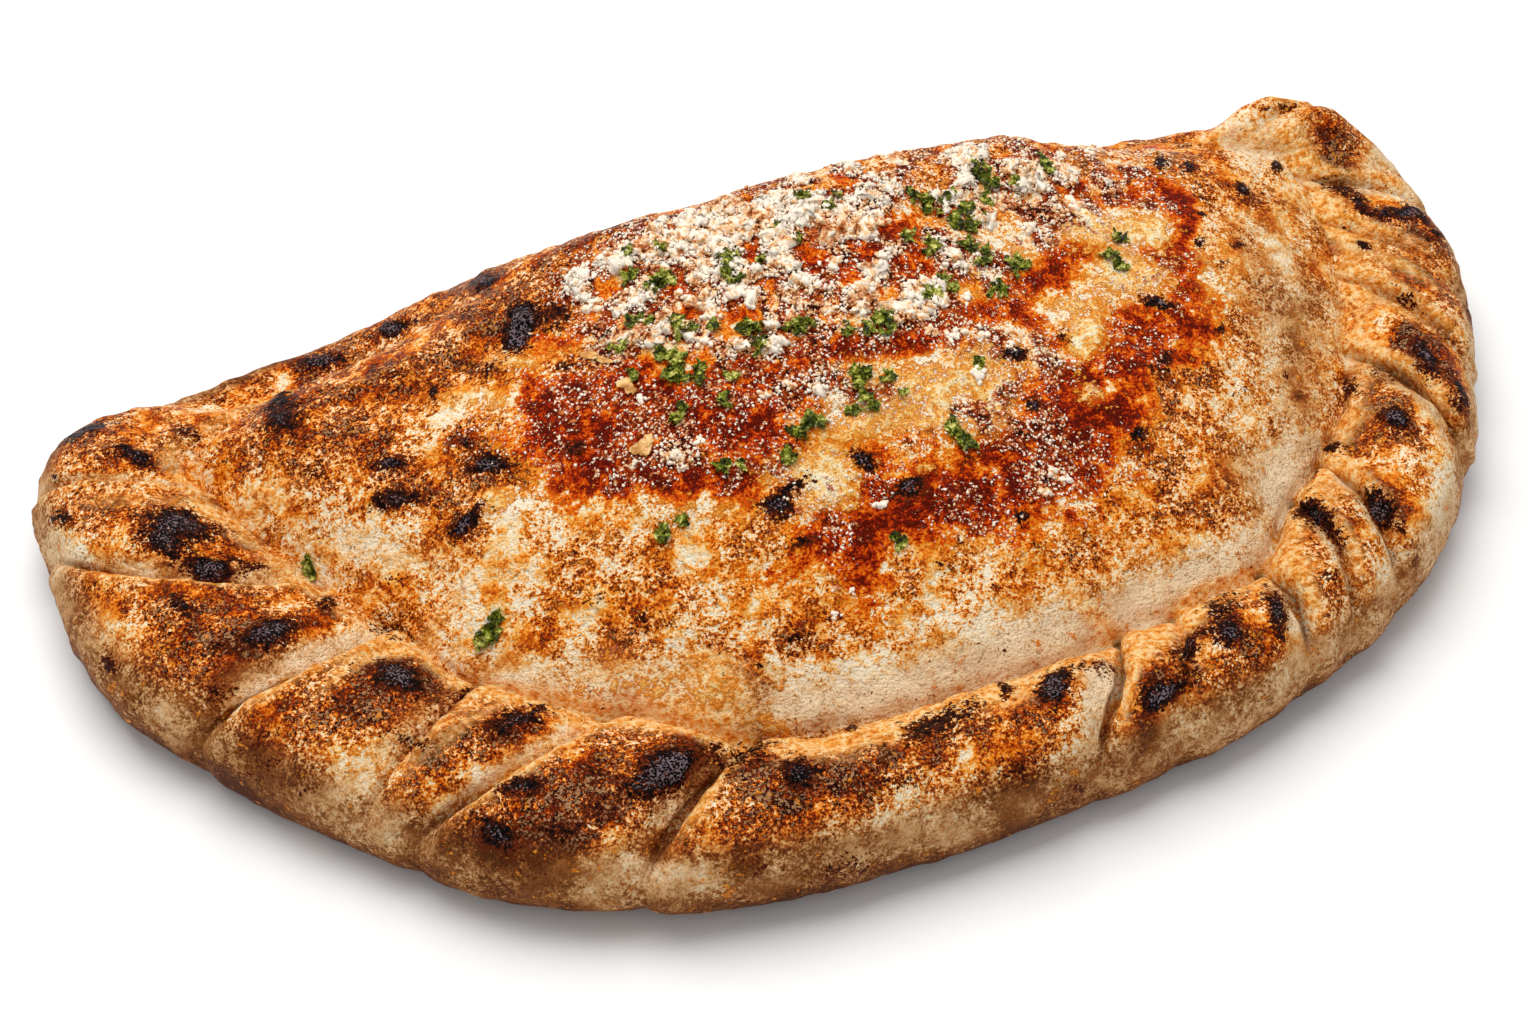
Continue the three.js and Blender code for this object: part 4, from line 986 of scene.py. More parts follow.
def leaf(random, half_length):
    """A torn, curled scrap of leaf: two faces split alike, closed round its ragged edge."""
    spokes = LEAF_SPOKES
    angle = 2 * math.pi * np.arange(spokes) / spokes + random.uniform(-UNEVEN_SPOKES, UNEVEN_SPOKES, spokes)
    lobes = random.randint(FEWEST_LOBES, MOST_LOBES + 1)
    edge = LEAF_EDGE + LEAF_LOBES * np.cos(lobes * angle + random.uniform(0, 6))
    edge = edge + random.uniform(-LEAF_TORN, LEAF_TORN, spokes)
    width = random.uniform(*LEAF_WIDTH)
    curl, wave, phase = random.uniform(*LEAF_CURL), random.uniform(*LEAF_WAVE), random.uniform(0, 6)
    face = [np.array([0, 0, 0.0])]
    for ring in range(1, LEAF_RINGS + 1):
        reach = ring / LEAF_RINGS
        for k in range(spokes):
            x, y = edge[k] * reach * math.cos(angle[k]), width * edge[k] * reach * math.sin(angle[k])
            ripple = wave * reach * math.sin(3 * angle[k] + phase)
            z = curl * x * x * 0.5 + ripple + random.uniform(-LEAF_CRUMPLE, LEAF_CRUMPLE)
            face.append(np.array([x, y, z]))
    face = np.array(face) * half_length
    count = len(face)
    faces = []
    for k in range(spokes):
        j = (k + 1) % spokes
        faces += [(0, 1 + k, 1 + j), (count, count + 1 + j, count + 1 + k)]
        for ring in range(LEAF_RINGS - 1):
            a, b = 1 + ring * spokes + k, 1 + ring * spokes + j
            c, d = b + spokes, a + spokes
            faces += [(a, d, c, b), (count + a, count + b, count + c, count + d)]
        a, b = 1 + (LEAF_RINGS - 1) * spokes + k, 1 + (LEAF_RINGS - 1) * spokes + j
        faces.append((a, count + a, count + b, b))
    return np.vstack([face + [0, 0, LEAF_THICKNESS], face]), faces


def joined(parts):
    """The corners and faces of several parts as those of one."""
    corners, faces, start = [], [], 0
    for part_corners, part_faces in parts:
        corners.append(part_corners)
        faces += [tuple(start + k for k in face) for face in part_faces]
        start += len(part_corners)
    return np.vstack(corners), faces


def lay_parsley(finder, random):
    """Pinches of parsley: scraps of leaf that lean every way, a little above the crust."""
    parts = []
    for x, y, radius, count in PARSLEY:
        for _ in range(round(LEAVES_A_PIECE * count)):
            turn, reach = random.uniform(0, 2 * math.pi), radius * PINCH_FILL * math.sqrt(random.uniform())
            place, normal = finder.find(x + reach * math.cos(turn), y + reach * math.sin(turn))
            if place is None:
                continue
            corners, faces = leaf(random, random.uniform(*LEAF_SIZE))
            lifted = place + normal * random.uniform(*PARSLEY_LIFT)
            parts.append((lifted + corners @ turned(random, normal), faces))
    return joined(parts)


def lay_nuggets(finder, random):
    """Nuggets of cheese, each a heap of uneven lumps that run into each other."""
    parts = []
    for x, y, radius in NUGGETS:
        for _ in range(NUGGET_LUMPS):
            aside, away = random.normal(size=2) * radius * NUGGET_SPREAD
            place, normal = finder.find(x + aside, y + away)
            if place is None:
                continue
            corners, faces = shaped_lump(random, NUGGET_UNEVEN)
            size = radius * PIXEL * random.uniform(*NUGGET_SIZE) * np.array(NUGGET_SHAPE)
            lifted = place + normal * random.uniform(*NUGGET_LIFT) * radius * PIXEL
            parts.append((lifted + (corners * size) @ turned(random, normal), faces))
    return joined(parts)


def lay_garlic(finder, random):
    """Chips of garlic: long, flat, bent lumps that lie along the crust."""
    parts = []
    for x, y, half_length, half_width, angle in GARLIC:
        place, normal = finder.find(x, y)
        corners, faces = shaped_lump(random, GARLIC_UNEVEN)
        corners[:, 2] += GARLIC_BEND * (corners[:, 0] ** 2 - 0.1)
        along = finder.axes(x, y, angle, normal)[0]
        along /= np.linalg.norm(along)
        axes = np.array([along, np.cross(normal, along), normal])
        size = 2 * PIXEL * np.array([half_length, half_width, GARLIC_FLATNESS * half_width])
        parts.append((place + normal * GARLIC_LIFT + (corners * size) @ axes, faces))
    return joined(parts)


# ---------------------------------------------------------------- nodes
def add_node(tree, kind, settings=None, inputs=None, stops=None):
    """Adds a node with its settings and its inputs, each a value or a socket to link; stops colour a ramp."""
    node = tree.nodes.new(kind)
    for name, value in (settings or {}).items():
        setattr(node, name, value)
    for key, value in (inputs or {}).items():
        if isinstance(value, bpy.types.NodeSocket):
            tree.links.new(value, node.inputs[key])
        else:
            node.inputs[key].default_value = value
    if stops:
        ramp = node.color_ramp.elements
        for element, (position, colour) in ((ramp[0], stops[0]), (ramp[1], stops[-1])):
            element.position, element.color = position, linear(colour)
        for position, colour in stops[1:-1]:
            ramp.new(position).color = linear(colour)
    return node


SCATTER_INPUTS = {
    "Spacing": "Float", "Density": "Float", "Smallest": "Float", "Largest": "Float", "Lift": "Float",
    "Threshold": "Float", "Fade": "Float", "Seed": "Int",
}
CRUMB_KINDS = 5
KINDS_APART = (3.7, 1.9, -2.3)  # how far from each other the kinds' noise is read
CRUMB_NOISE, CRUMB_RAGGED = 3.4, 1.3  # for a crumb about 1 across: how fine its unevenness is, and how strong
CRUMB_LONGER, CRUMB_WIDTH, CRUMB_HEIGHT = 0.25, 0.85, 0.62
CRUMB_TILT = 0.6  # radians
LIFT_SEED = 5.0  # added to a scatter's seed


def crumb_shapes(tree, detail):
    """Ragged crumbs of several kinds, each about 1 across and an instance of its own."""
    crumbs = []
    for kind in range(CRUMB_KINDS):
        ball = add_node(
            tree, "GeometryNodeMeshIcoSphere", None, {"Radius": 0.5, "Subdivisions": detail}
        ).outputs["Mesh"]
        position = add_node(tree, "GeometryNodeInputPosition").outputs[0]
        apart = tuple(step * kind for step in KINDS_APART)
        moved = add_node(
            tree, "ShaderNodeVectorMath", {"operation": "ADD"}, {0: position, 1: apart}
        ).outputs[0]
        noise = add_node(
            tree, "ShaderNodeTexNoise", None, {"Vector": moved, "Scale": CRUMB_NOISE, "Detail": 1.0}
        ).outputs["Color"]
        centred = add_node(
            tree, "ShaderNodeVectorMath", {"operation": "SUBTRACT"}, {0: noise, 1: (0.5, 0.5, 0.5)}
        ).outputs[0]
        shift = add_node(
            tree, "ShaderNodeVectorMath", {"operation": "SCALE"}, {0: centred, "Scale": CRUMB_RAGGED}
        ).outputs[0]
        ragged = add_node(
            tree, "GeometryNodeSetPosition", None, {"Geometry": ball, "Offset": shift}
        ).outputs[0]
        sizes = (1 + CRUMB_LONGER * (kind % 3), CRUMB_WIDTH, CRUMB_HEIGHT)
        flat = add_node(tree, "GeometryNodeTransform", None, {"Geometry": ragged, "Scale": sizes}).outputs[0]
        crumbs.append(add_node(tree, "GeometryNodeGeometryToInstance", None, {"Geometry": flat}).outputs[0])
    kinds = add_node(tree, "GeometryNodeJoinGeometry")
    for crumb in crumbs:
        tree.links.new(crumb, kinds.inputs[0])
    return kinds.outputs[0]


def scatter_tree(name, crumb_detail, crumb_material):
    """A tree that scatters ragged crumbs over the crust, thickest where its cheese field is highest."""
    tree = bpy.data.node_groups.new(name, "GeometryNodeTree")
    tree.interface.new_socket("Crust", in_out="INPUT", socket_type="NodeSocketGeometry")
    sockets = {
        label: tree.interface.new_socket(label, in_out="INPUT", socket_type="NodeSocket" + kind).identifier
        for label, kind in SCATTER_INPUTS.items()
    }
    tree.interface.new_socket("Crumbs", in_out="OUTPUT", socket_type="NodeSocketGeometry")
    given = add_node(tree, "NodeGroupInput").outputs

    cheese = add_node(
        tree, "GeometryNodeInputNamedAttribute", {"data_type": "FLOAT"}, {"Name": "cheese"}
    ).outputs["Attribute"]
    above = add_node(
        tree, "ShaderNodeMath", {"operation": "SUBTRACT"}, {0: cheese, 1: given["Threshold"]}
    ).outputs[0]
    factor = add_node(
        tree, "ShaderNodeMath", {"operation": "DIVIDE", "use_clamp": True}, {0: above, 1: given["Fade"]}
    ).outputs[0]
    points = add_node(
        tree, "GeometryNodeDistributePointsOnFaces", {"distribute_method": "POISSON"},
        {"Mesh": given["Crust"], "Distance Min": given["Spacing"], "Density Max": given["Density"],
         "Density Factor": factor, "Seed": given["Seed"]},
    ).outputs
    lift_seed = add_node(
        tree, "ShaderNodeMath", {"operation": "ADD"}, {0: given["Seed"], 1: LIFT_SEED}
    ).outputs[0]
    rise = add_node(
        tree, "FunctionNodeRandomValue", {"data_type": "FLOAT"}, {2: 0.0, 3: given["Lift"], "Seed": lift_seed}
    ).outputs[1]
    offset = add_node(
        tree, "ShaderNodeVectorMath", {"operation": "SCALE"}, {0: points["Normal"], "Scale": rise}
    ).outputs[0]
    lifted = add_node(
        tree, "GeometryNodeSetPosition", None, {"Geometry": points["Points"], "Offset": offset}
    ).outputs[0]

    size = add_node(
        tree, "FunctionNodeRandomValue", {"data_type": "FLOAT"},
        {2: given["Smallest"], 3: given["Largest"], "Seed": given["Seed"]},
    ).outputs[1]
    tumble = add_node(
        tree, "FunctionNodeRandomValue", {"data_type": "FLOAT_VECTOR"},
        {0: (-CRUMB_TILT, -CRUMB_TILT, 0), 1: (CRUMB_TILT, CRUMB_TILT, 2 * math.pi), "Seed": given["Seed"]},
    ).outputs[0]
    spin = add_node(
        tree, "FunctionNodeRotateRotation", {"rotation_space": "LOCAL"},
        {"Rotation": points["Rotation"], "Rotate By": tumble},
    ).outputs[0]
    placed = add_node(
        tree, "GeometryNodeInstanceOnPoints", None,
        {"Points": lifted, "Instance": crumb_shapes(tree, crumb_detail), "Pick Instance": True,
         "Rotation": spin, "Scale": size},
    ).outputs[0]
    real = add_node(tree, "GeometryNodeRealizeInstances", None, {"Geometry": placed}).outputs[0]
    finished = add_node(
        tree, "GeometryNodeSetMaterial", None, {"Geometry": real, "Material": crumb_material}
    ).outputs[0]
    add_node(tree, "NodeGroupOutput", None, {"Crumbs": finished})
    return tree, sockets


def scattered(name, crust, tree, sockets, values, material):
    """A piece made by running a scatter tree over the crust."""
    piece = bpy.data.objects.new(name, crust.data.copy())
    bpy.context.scene.collection.objects.link(piece)
    modifier = piece.modifiers.new("scatter", "NODES")
    modifier.node_group = tree
    for label, value in values.items():
        modifier[sockets[label]] = value
    graph = bpy.context.evaluated_depsgraph_get()
    mesh = bpy.data.meshes.new_from_object(piece.evaluated_get(graph))
    piece.modifiers.remove(modifier)
    old = piece.data
    piece.data = mesh
    bpy.data.meshes.remove(old)
    mesh.name = name
    mesh.materials.clear()
    mesh.materials.append(material)
    mesh.polygons.foreach_set("material_index", [0] * len(mesh.polygons))
    mesh.polygons.foreach_set("use_smooth", [True] * len(mesh.polygons))
    return piece


# ---------------------------------------------------------------- materials
NOISES_APART = (0.31, 0.17, 0.23)  # metres between the places at which a material's noises are read


def new_material(name):
    """A material with an empty tree but for its shader and output, and the place that its patterns read."""
    material = bpy.data.materials.new(name)
    material.use_nodes = True
    tree = material.node_tree
    tree.nodes.clear()
    shader = add_node(tree, "ShaderNodeBsdfPrincipled")
    add_node(tree, "ShaderNodeOutputMaterial", None, {"Surface": shader.outputs[0]})
    place = add_node(tree, "ShaderNodeTexCoord").outputs["Object"]
    return material, tree, shader, place


def noises(tree, place, table):
    """Noise from 0 to 1 for each name in a table of name, size in mm, detail and roughness."""
    found = {}
    for k, (name, size, detail, roughness) in enumerate(table):
        apart = tuple(step * k for step in NOISES_APART)
        moved = add_node(tree, "ShaderNodeVectorMath", {"operation": "ADD"}, {0: place, 1: apart}).outputs[0]
        found[name] = add_node(
            tree, "ShaderNodeTexNoise", None,
            {"Vector": moved, "Scale": 1 / (size * MM), "Detail": detail, "Roughness": roughness},
        ).outputs["Fac"]
    return found


def summed(tree, start, terms):
    """Start plus each noise, centred on 0, times its weight."""
    total = start
    for noise, weight in terms:
        part = add_node(
            tree, "ShaderNodeMath", {"operation": "MULTIPLY_ADD"}, {0: noise, 1: weight, 2: -0.5 * weight}
        ).outputs[0]
        total = add_node(tree, "ShaderNodeMath", {"operation": "ADD"}, {0: total, 1: part}).outputs[0]
    return total


def coated(tree, surface, coats):
    """Lays coats over the surface's colour: each shows from low to high of its value, at most so strongly."""
    for value, low, high, most, colour in coats:
        shown = add_node(
            tree, "ShaderNodeMapRange", {"interpolation_type": "SMOOTHSTEP"},
            {"Value": value, "From Min": low, "From Max": high, "To Max": most},
        ).outputs[0]
        surface = add_node(
            tree, "ShaderNodeMix", {"data_type": "RGBA"}, {0: shown, 6: surface, 7: colour}
        ).outputs[2]
    return surface


def grey(level):
    """A plain number as the RGBA that a coat takes."""
    return (level, level, level, 1)


CRUST_NOISES = [  # name, size in mm, detail, roughness
    ("speck", 0.55, 2, 0.75), ("fleck", 1.4, 3, 0.65), ("patch", 4.5, 3, 0.6), ("cloud", 10, 2, 0.5),
    ("soot", 0.9, 2, 0.7), ("oil", 2.4, 3, 0.6), ("pore", 1.4, 1, 0.5), ("ash", 0.45, 1, 0.5),
    ("dust", 0.6, 2, 0.6), ("grainy", 8, 2, 0.6),
]
CRUST_FIELDS = ("toast", "char", "sauce", "cream", "cheese", "soft", "seam_shade", "lip")


def browned_dough(tree, field, n):
    """How brown the dough is, and its colour where it is bare: pale specks that are partly painted glints,
    soft dough that is partly painted shade low on the side, painted highlights on the folds' lips and painted
    shade in the seams.
    """
    # Browning comes in soft blotches. Where they are darker, 1 mm bubbles over pale dough make them grainy.
    calm = add_node(
        tree, "ShaderNodeMapRange", None, {"Value": field["soft"], "To Min": 1.0, "To Max": 0.45}
    ).outputs[0]
    uneven = summed(tree, 0.0, [(n["patch"], 1.4), (n["cloud"], 1.1)])
    blotches = add_node(
        tree, "ShaderNodeMath", {"operation": "MULTIPLY_ADD"}, {0: uneven, 1: calm, 2: field["toast"]}
    ).outputs[0]
    speckle = summed(tree, 0.0, [(n["speck"], 2.4), (n["fleck"], 2.3)])
    strength = add_node(
        tree, "ShaderNodeMapRange", None,
        {"Value": blotches, "From Min": 0.2, "From Max": 0.6, "To Min": 0.75, "To Max": 1.0},
    ).outputs[0]
    grainy = add_node(
        tree, "ShaderNodeMapRange", None,
        {"Value": n["grainy"], "From Min": 0.36, "From Max": 0.6, "To Min": 0.35, "To Max": 1.35},
    ).outputs[0]
    for share in (calm, grainy):
        strength = add_node(
            tree, "ShaderNodeMath", {"operation": "MULTIPLY"}, {0: strength, 1: share}
        ).outputs[0]
    browning = add_node(
        tree, "ShaderNodeMath", {"operation": "MULTIPLY_ADD"}, {0: speckle, 1: strength, 2: blotches}
    ).outputs[0]
    dough = add_node(tree, "ShaderNodeValToRGB", None, {"Fac": browning}, [
        (0.0, "#ffefd2"), (0.18, "#ffd79a"), (0.33, "#fcab42"), (0.48, "#ee7c10"),
        (0.64, "#ae3c04"), (0.82, "#581502"), (1.0, "#1c0602"),
    ]).outputs["Color"]
    # Soft dough, duller and darker than the rest: on the low sides partly painted shade.
    soft_and_shaded_dough = add_node(tree, "ShaderNodeValToRGB", None, {"Fac": browning}, [
        (0.0, "#f4d8b0"), (0.28, "#d9a46c"), (0.52, "#975a2b"), (0.8, "#562910"),
    ]).outputs["Color"]
    # The lips: golden, lighter as painted highlight.
    lip = add_node(tree, "ShaderNodeValToRGB", None, {"Fac": n["fleck"]}, [
        (0.4, "#ffd898"), (0.54, "#f6a444"), (0.68, "#cc620e"),
    ]).outputs["Color"]
    # Pale specks over the brown: flour, and painted glints.
    flour_and_glints = summed(tree, browning, [(n["dust"], 3.0)])
    return browning, coated(tree, dough, [
        (flour_and_glints, 1.1, 1.25, 0.5, linear("#f0b27c")),
        (field["soft"], 0.0, 1.0, 1.0, soft_and_shaded_dough),
        (n["pore"], 0.66, 0.72, 0.4, linear("#6e4420")),
        (field["lip"], 0.05, 0.9, 0.95, lip),
        # Painted shade in the seams and the groove.
        (field["seam_shade"], 0.1, 1.0, 0.9, linear("#572a10")),
    ])


def baked_on(tree, field, n, dough):
    """The colour with sauce, cheese and char over the dough, with painted shade between the grains of cheese
    and painted glints among the white specks and the ash, and how thick the sauce and the char lie.
    """
    # Tomato sauce: orange at its thin edge, deep red where it lies thick.
    sauce_value = summed(tree, field["sauce"], [(n["fleck"], 1.3), (n["patch"], 1.5), (n["oil"], 0.9)])
    sauce_tone = summed(tree, sauce_value, [(n["speck"], 1.3)])
    sauce = add_node(tree, "ShaderNodeValToRGB", None, {"Fac": sauce_tone}, [
        (0.25, "#fab146"), (0.44, "#f08716"), (0.64, "#dc5004"), (0.82, "#a02201"), (1.0, "#580e01"),
    ]).outputs["Color"]
    # Melted cheese: cream-coloured, golden where it thins out.
    melt_value = summed(tree, field["cream"], [(n["fleck"], 1.6), (n["patch"], 1.3), (n["speck"], 0.9)])
    melt = add_node(tree, "ShaderNodeValToRGB", None, {"Fac": melt_value}, [
        (0.36, "#b9540e"), (0.55, "#ea9128"), (0.78, "#fbca78"), (1.0, "#fff0cb"),
    ]).outputs["Color"]
    # Under and between the grains of cheese the crust is dark red-brown to near black: the sauce's baked oil,
    # and painted shade between the grains. Over it lie white specks: grains finer than these, and painted
    # glints on the sauce.
    bed_oil_and_shade_value = summed(tree, field["cheese"], [(n["fleck"], 1.2), (n["patch"], 1.0)])
    bed_oil_and_shade = add_node(tree, "ShaderNodeValToRGB", None, {"Fac": n["fleck"]}, [
        (0.4, "#260802"), (0.52, "#842605"), (0.61, "#c85a14"), (0.72, "#f3bd85"),
    ]).outputs["Color"]
    begun = add_node(
        tree, "ShaderNodeMapRange", None,
        {"Value": field["cheese"], "From Max": 0.15, "To Min": -0.4, "To Max": 0.1},
    ).outputs[0]
    sprinkled = add_node(
        tree, "ShaderNodeMath", {"operation": "MULTIPLY_ADD"}, {0: field["cheese"], 1: 0.06, 2: begun}
    ).outputs[0]
    # White specks: cheese dust, and painted glints.
    dust_and_glints = summed(tree, sprinkled, [(n["dust"], 2.4), (n["fleck"], 1.0)])
    # Charred blisters: brown round the edge, black within, with violet-grey specks of ash that are also
    # painted glints.
    char_value = summed(tree, field["char"], [(n["soot"], 1.3), (n["speck"], 1.3), (n["oil"], 1.1)])
    soot = add_node(tree, "ShaderNodeValToRGB", None, {"Fac": char_value}, [
        (0.4, "#86360a"), (0.56, "#541c07"), (0.76, "#260e07"), (0.95, "#080404"),
    ]).outputs["Color"]
    ash_and_glints = add_node(
        tree, "ShaderNodeMath", {"operation": "MULTIPLY"}, {0: n["ash"], 1: field["char"]}
    ).outputs[0]
    burnt = coated(tree, soot, [(ash_and_glints, 0.47, 0.6, 0.65, linear("#968289"))])
    return sauce_value, char_value, coated(tree, dough, [
        (sauce_value, 0.3, 0.46, 1.0, sauce),
        (melt_value, 0.32, 0.46, 1.0, melt),
        # Dark bed: baked oil, and painted shade between the grains.
        (bed_oil_and_shade_value, 0.3, 0.5, 1.0, bed_oil_and_shade),
        (dust_and_glints, 0.4, 0.48, 1.0, linear("#ffecd2")),
        (char_value, 0.37, 0.5, 1.0, burnt),
    ])


def baked_crust():
    """Flour dough baked on stone: cream where it stayed soft, golden to brown where it stood up, blistered
    black. Painted highlights lie on the folds' lips, and painted shade low on the side, in the seams and in
    the groove."""
    material, tree, shader, place = new_material("baked_dough_crust")
    field = {
        name: add_node(tree, "ShaderNodeAttribute", {"attribute_name": name}).outputs["Fac"]
        for name in CRUST_FIELDS
    }
    n = noises(tree, place, CRUST_NOISES)
    browning, dough = browned_dough(tree, field, n)
    sauce_value, char_value, surface = baked_on(tree, field, n, dough)
    tree.links.new(surface, shader.inputs["Base Color"])

    # Dry and matt where it is pale; smoother where it is brown, sauced or charred, as oil is on it there.
    dryness = summed(tree, n["oil"], [(n["speck"], 0.8)])
    dry = add_node(
        tree, "ShaderNodeValToRGB", None, {"Fac": dryness}, [(0.2, "#a0a0a0"), (0.8, "#d8d8d8")]
    ).outputs["Color"]
    roughness = coated(tree, dry, [
        (browning, 0.5, 0.9, 0.8, grey(0.36)),
        (sauce_value, 0.3, 0.46, 1.0, grey(0.3)),
        (char_value, 0.4, 0.52, 1.0, grey(0.4)),
    ])
    tree.links.new(roughness, shader.inputs["Roughness"])
    shader.inputs["Specular IOR Level"].default_value = 0.045  # a porous crust gives back little of a lamp
    shader.inputs["IOR"].default_value = 1.45

    grains = add_node(
        tree, "ShaderNodeBump", None,
        {"Strength": 0.8, "Distance": 0.5 * MM, "Height": summed(tree, n["speck"], [(n["ash"], 0.6)])},
    ).outputs[0]
    bubbles = summed(tree, n["fleck"], [(n["patch"], 0.4)])
    bump = add_node(
        tree, "ShaderNodeBump", None,
        {"Strength": 0.8, "Distance": 1.2 * MM, "Height": bubbles, "Normal": grains},
    ).outputs[0]
    tree.links.new(bump, shader.inputs["Normal"])
    return material


def grated_cheese():
    """Hard cheese, grated and baked: ivory, waxy crumbs, some gold, some stained by the sauce's oil."""
    material, tree, shader, place = new_material("grated_hard_cheese")
    n = noises(tree, place, [("crumb", 0.6, 3, 0.7), ("bit", 2.4, 2, 0.6), ("area", 9, 2, 0.5)])
    tone = summed(tree, n["area"], [(n["bit"], 1.5), (n["crumb"], 0.9)])
    colour = add_node(tree, "ShaderNodeValToRGB", None, {"Fac": tone}, [
        (0.5, "#fff1de"), (0.63, "#fbc88a"), (0.85, "#b95a1c"),
    ]).outputs["Color"]
    tree.links.new(colour, shader.inputs["Base Color"])
    shader.inputs["Roughness"].default_value = 0.5
    shader.inputs["IOR"].default_value = 1.44
    bump = add_node(
        tree, "ShaderNodeBump", None, {"Strength": 0.3, "Distance": 0.25 * MM, "Height": n["crumb"]}
    ).outputs[0]
    tree.links.new(bump, shader.inputs["Normal"])
    return material


def chopped_parsley():
    """Fresh parsley, chopped and warmed through: deep green, darker and paler at random, its near-black and
    pale yellow tones painted shade and highlight among the curls, with a soft gloss.
    """
    material, tree, shader, place = new_material("chopped_parsley")
    n = noises(tree, place, [("vein", 0.5, 3, 0.6), ("leaf", 2.2, 2, 0.6)])
    tone = summed(tree, n["leaf"], [(n["vein"], 0.9)])
    # Near-black and pale yellow ends of the ramp: painted shade and highlight.
    colour = add_node(tree, "ShaderNodeValToRGB", None, {"Fac": tone}, [
        (0.24, "#101401"), (0.44, "#3a4404"), (0.58, "#8a8f1e"), (0.76, "#e8df84"),
    ]).outputs["Color"]
    tree.links.new(colour, shader.inputs["Base Color"])
    shader.inputs["Roughness"].default_value = 0.42
    shader.inputs["Specular IOR Level"].default_value = 0.2
    bump = add_node(
        tree, "ShaderNodeBump", None, {"Strength": 0.5, "Distance": 0.2 * MM, "Height": n["vein"]}
    ).outputs[0]
    tree.links.new(bump, shader.inputs["Normal"])
    return material


def fried_garlic():
    """Garlic fried in oil: translucent gold, browner at the ends."""
    material, tree, shader, place = new_material("fried_garlic")
    n = noises(tree, place, [("fibre", 1.2, 3, 0.6), ("edge", 4, 2, 0.5)])
    tone = summed(tree, n["edge"], [(n["fibre"], 0.8)])
    colour = add_node(tree, "ShaderNodeValToRGB", None, {"Fac": tone}, [
        (0.25, "#f2cf8e"), (0.5, "#dc9f4c"), (0.8, "#a65f22"),
    ]).outputs["Color"]
    tree.links.new(colour, shader.inputs["Base Color"])
    shader.inputs["Roughness"].default_value = 0.32
    bump = add_node(
        tree, "ShaderNodeBump", None, {"Strength": 0.4, "Distance": 0.3 * MM, "Height": n["fibre"]}
    ).outputs[0]
    tree.links.new(bump, shader.inputs["Normal"])
    return material


def table_top():
    """A plain matt white table top, barely uneven in tone."""
    material, tree, shader, place = new_material("matt_white_table")
    n = noises(tree, place, [("tone", 60, 2, 0.5)])
    colour = add_node(
        tree, "ShaderNodeValToRGB", None, {"Fac": n["tone"]}, [(0.0, "#f9f9f8"), (1.0, "#fbfbfa")]
    ).outputs["Color"]
    tree.links.new(colour, shader.inputs["Base Color"])
    shader.inputs["Roughness"].default_value = 0.75
    return material


# ---------------------------------------------------------------- the scene
TABLE_HALF = 3.0  # metres
LAMP_PLACE, LAMP_AIM, LAMP_SIZE = (-60, 370, 1150), (0, 20, 0), 1000  # mm
LAMP_POWER, LAMP_COLOUR = 12.9, (1.0, 0.985, 0.96)
ROOM_COLOUR, ROOM_STRENGTH = (0.965, 0.985, 1, 1), 0.51
TOPPING_SEED = 5
# Three sizes of cheese crumb, each with the detail of its mesh and the settings of its scatter: lengths in
# mm, density in crumbs per square mm, threshold and fade on the scale of the cheese field.
SCATTERS = {
    "grated_cheese": (2, {
        "Spacing": 1.1, "Density": 0.9, "Smallest": 0.9, "Largest": 3.0, "Lift": 0.2,
        "Threshold": 0.9, "Fade": 0.2, "Seed": 3,
    }),
    "fine_cheese": (1, {
        "Spacing": 0.6, "Density": 2.6, "Smallest": 0.5, "Largest": 1.3, "Lift": 0.4,
        "Threshold": 0.68, "Fade": 0.25, "Seed": 4,
    }),
    "cheese_dust": (1, {
        "Spacing": 0.45, "Density": 2.0, "Smallest": 0.35, "Largest": 0.8, "Lift": 0.1,
        "Threshold": 0.05, "Fade": 1.0, "Seed": 9,
    }),
}
SCATTER_UNITS = {"Density": 1 / MM**2, "Threshold": 1, "Fade": 1, "Seed": 1}  # the others are lengths


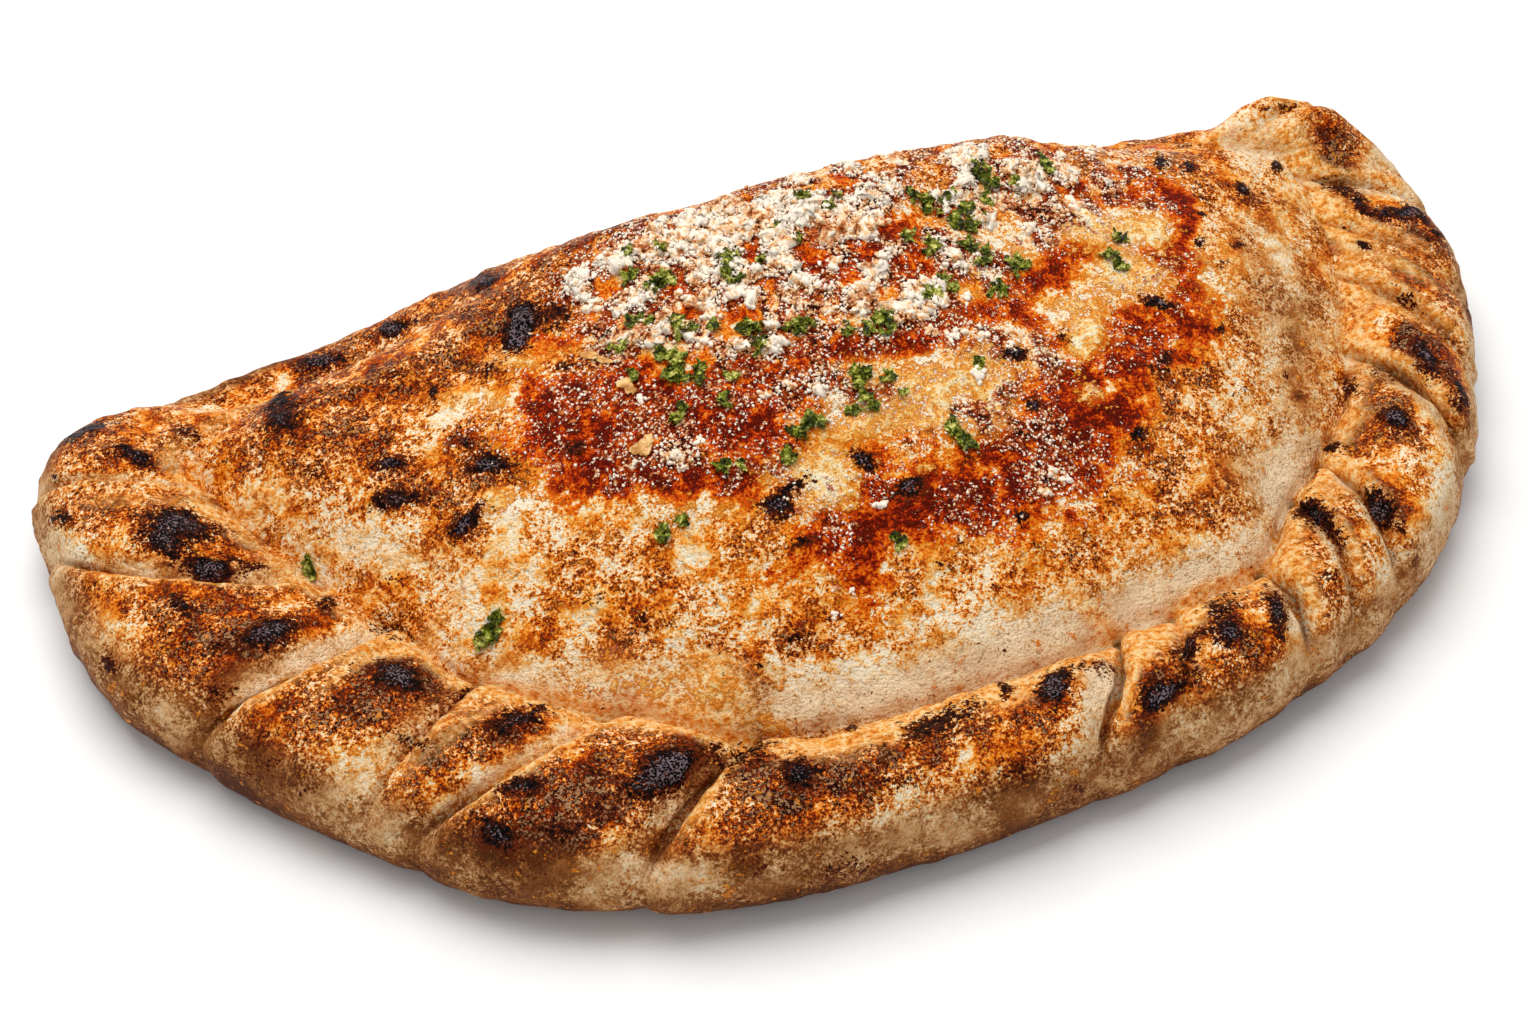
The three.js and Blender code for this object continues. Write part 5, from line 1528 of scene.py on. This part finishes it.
def add_floor(material):
    """The table top, flat, at the height of the calzone's underside."""
    form = bmesh.new()
    bmesh.ops.create_grid(form, x_segments=4, y_segments=4, size=TABLE_HALF)
    mesh = bpy.data.meshes.new("table_top")
    form.to_mesh(mesh)
    form.free()
    mesh.materials.append(material)
    floor = bpy.data.objects.new("table_top", mesh)
    bpy.context.scene.collection.objects.link(floor)
    return floor


def add_lamp():
    """A wide, soft, square lamp high over the back of the calzone."""
    data = bpy.data.lights.new("key", "AREA")
    data.shape, data.size, data.energy, data.color = "SQUARE", LAMP_SIZE * MM, LAMP_POWER, LAMP_COLOUR
    lamp = bpy.data.objects.new("key", data)
    lamp.location = Vector(LAMP_PLACE) * MM
    lamp.rotation_euler = (Vector(LAMP_AIM) - Vector(LAMP_PLACE)).to_track_quat("-Z", "Y").to_euler()
    bpy.context.scene.collection.objects.link(lamp)


def add_world():
    """The white room round the table, which fills the shadows."""
    world = bpy.data.worlds.new("studio")
    world.use_nodes = True
    background = world.node_tree.nodes["Background"]
    background.inputs["Color"].default_value = ROOM_COLOUR
    background.inputs["Strength"].default_value = ROOM_STRENGTH
    bpy.context.scene.world = world


def build():
    skin = Skin()
    faces = skin.faces()
    looks = Looks(skin, Finder(skin.points.reshape(-1, 3), faces))
    raise_relief(skin, looks)
    points = skin.points.reshape(-1, 3)
    crust = new_piece("crust", points, faces, baked_crust())
    for name, values in looks.fields().items():
        add_field(crust, name, values)

    finder = Finder(points, faces)
    ivory = grated_cheese()
    random = np.random.RandomState(TOPPING_SEED)
    pieces = [crust]
    pieces.append(new_piece("cheese_nuggets", *lay_nuggets(finder, random), ivory))
    pieces.append(new_piece("chopped_parsley", *lay_parsley(finder, random), chopped_parsley(), smooth=False))
    pieces.append(new_piece("fried_garlic", *lay_garlic(finder, random), fried_garlic(), smooth=False))
    for name, (detail, values) in SCATTERS.items():
        tree, sockets = scatter_tree(name + "_scatter", detail, ivory)
        settings = {label: value * SCATTER_UNITS.get(label, MM) for label, value in values.items()}
        pieces.append(scattered(name, crust, tree, sockets, settings, ivory))
    for piece in pieces:
        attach(piece, "root")
    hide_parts("calzone")


build()
add_floor(table_top())
add_lamp()
add_world()
add_camera()
bpy.context.scene.view_settings.view_transform = "Standard"
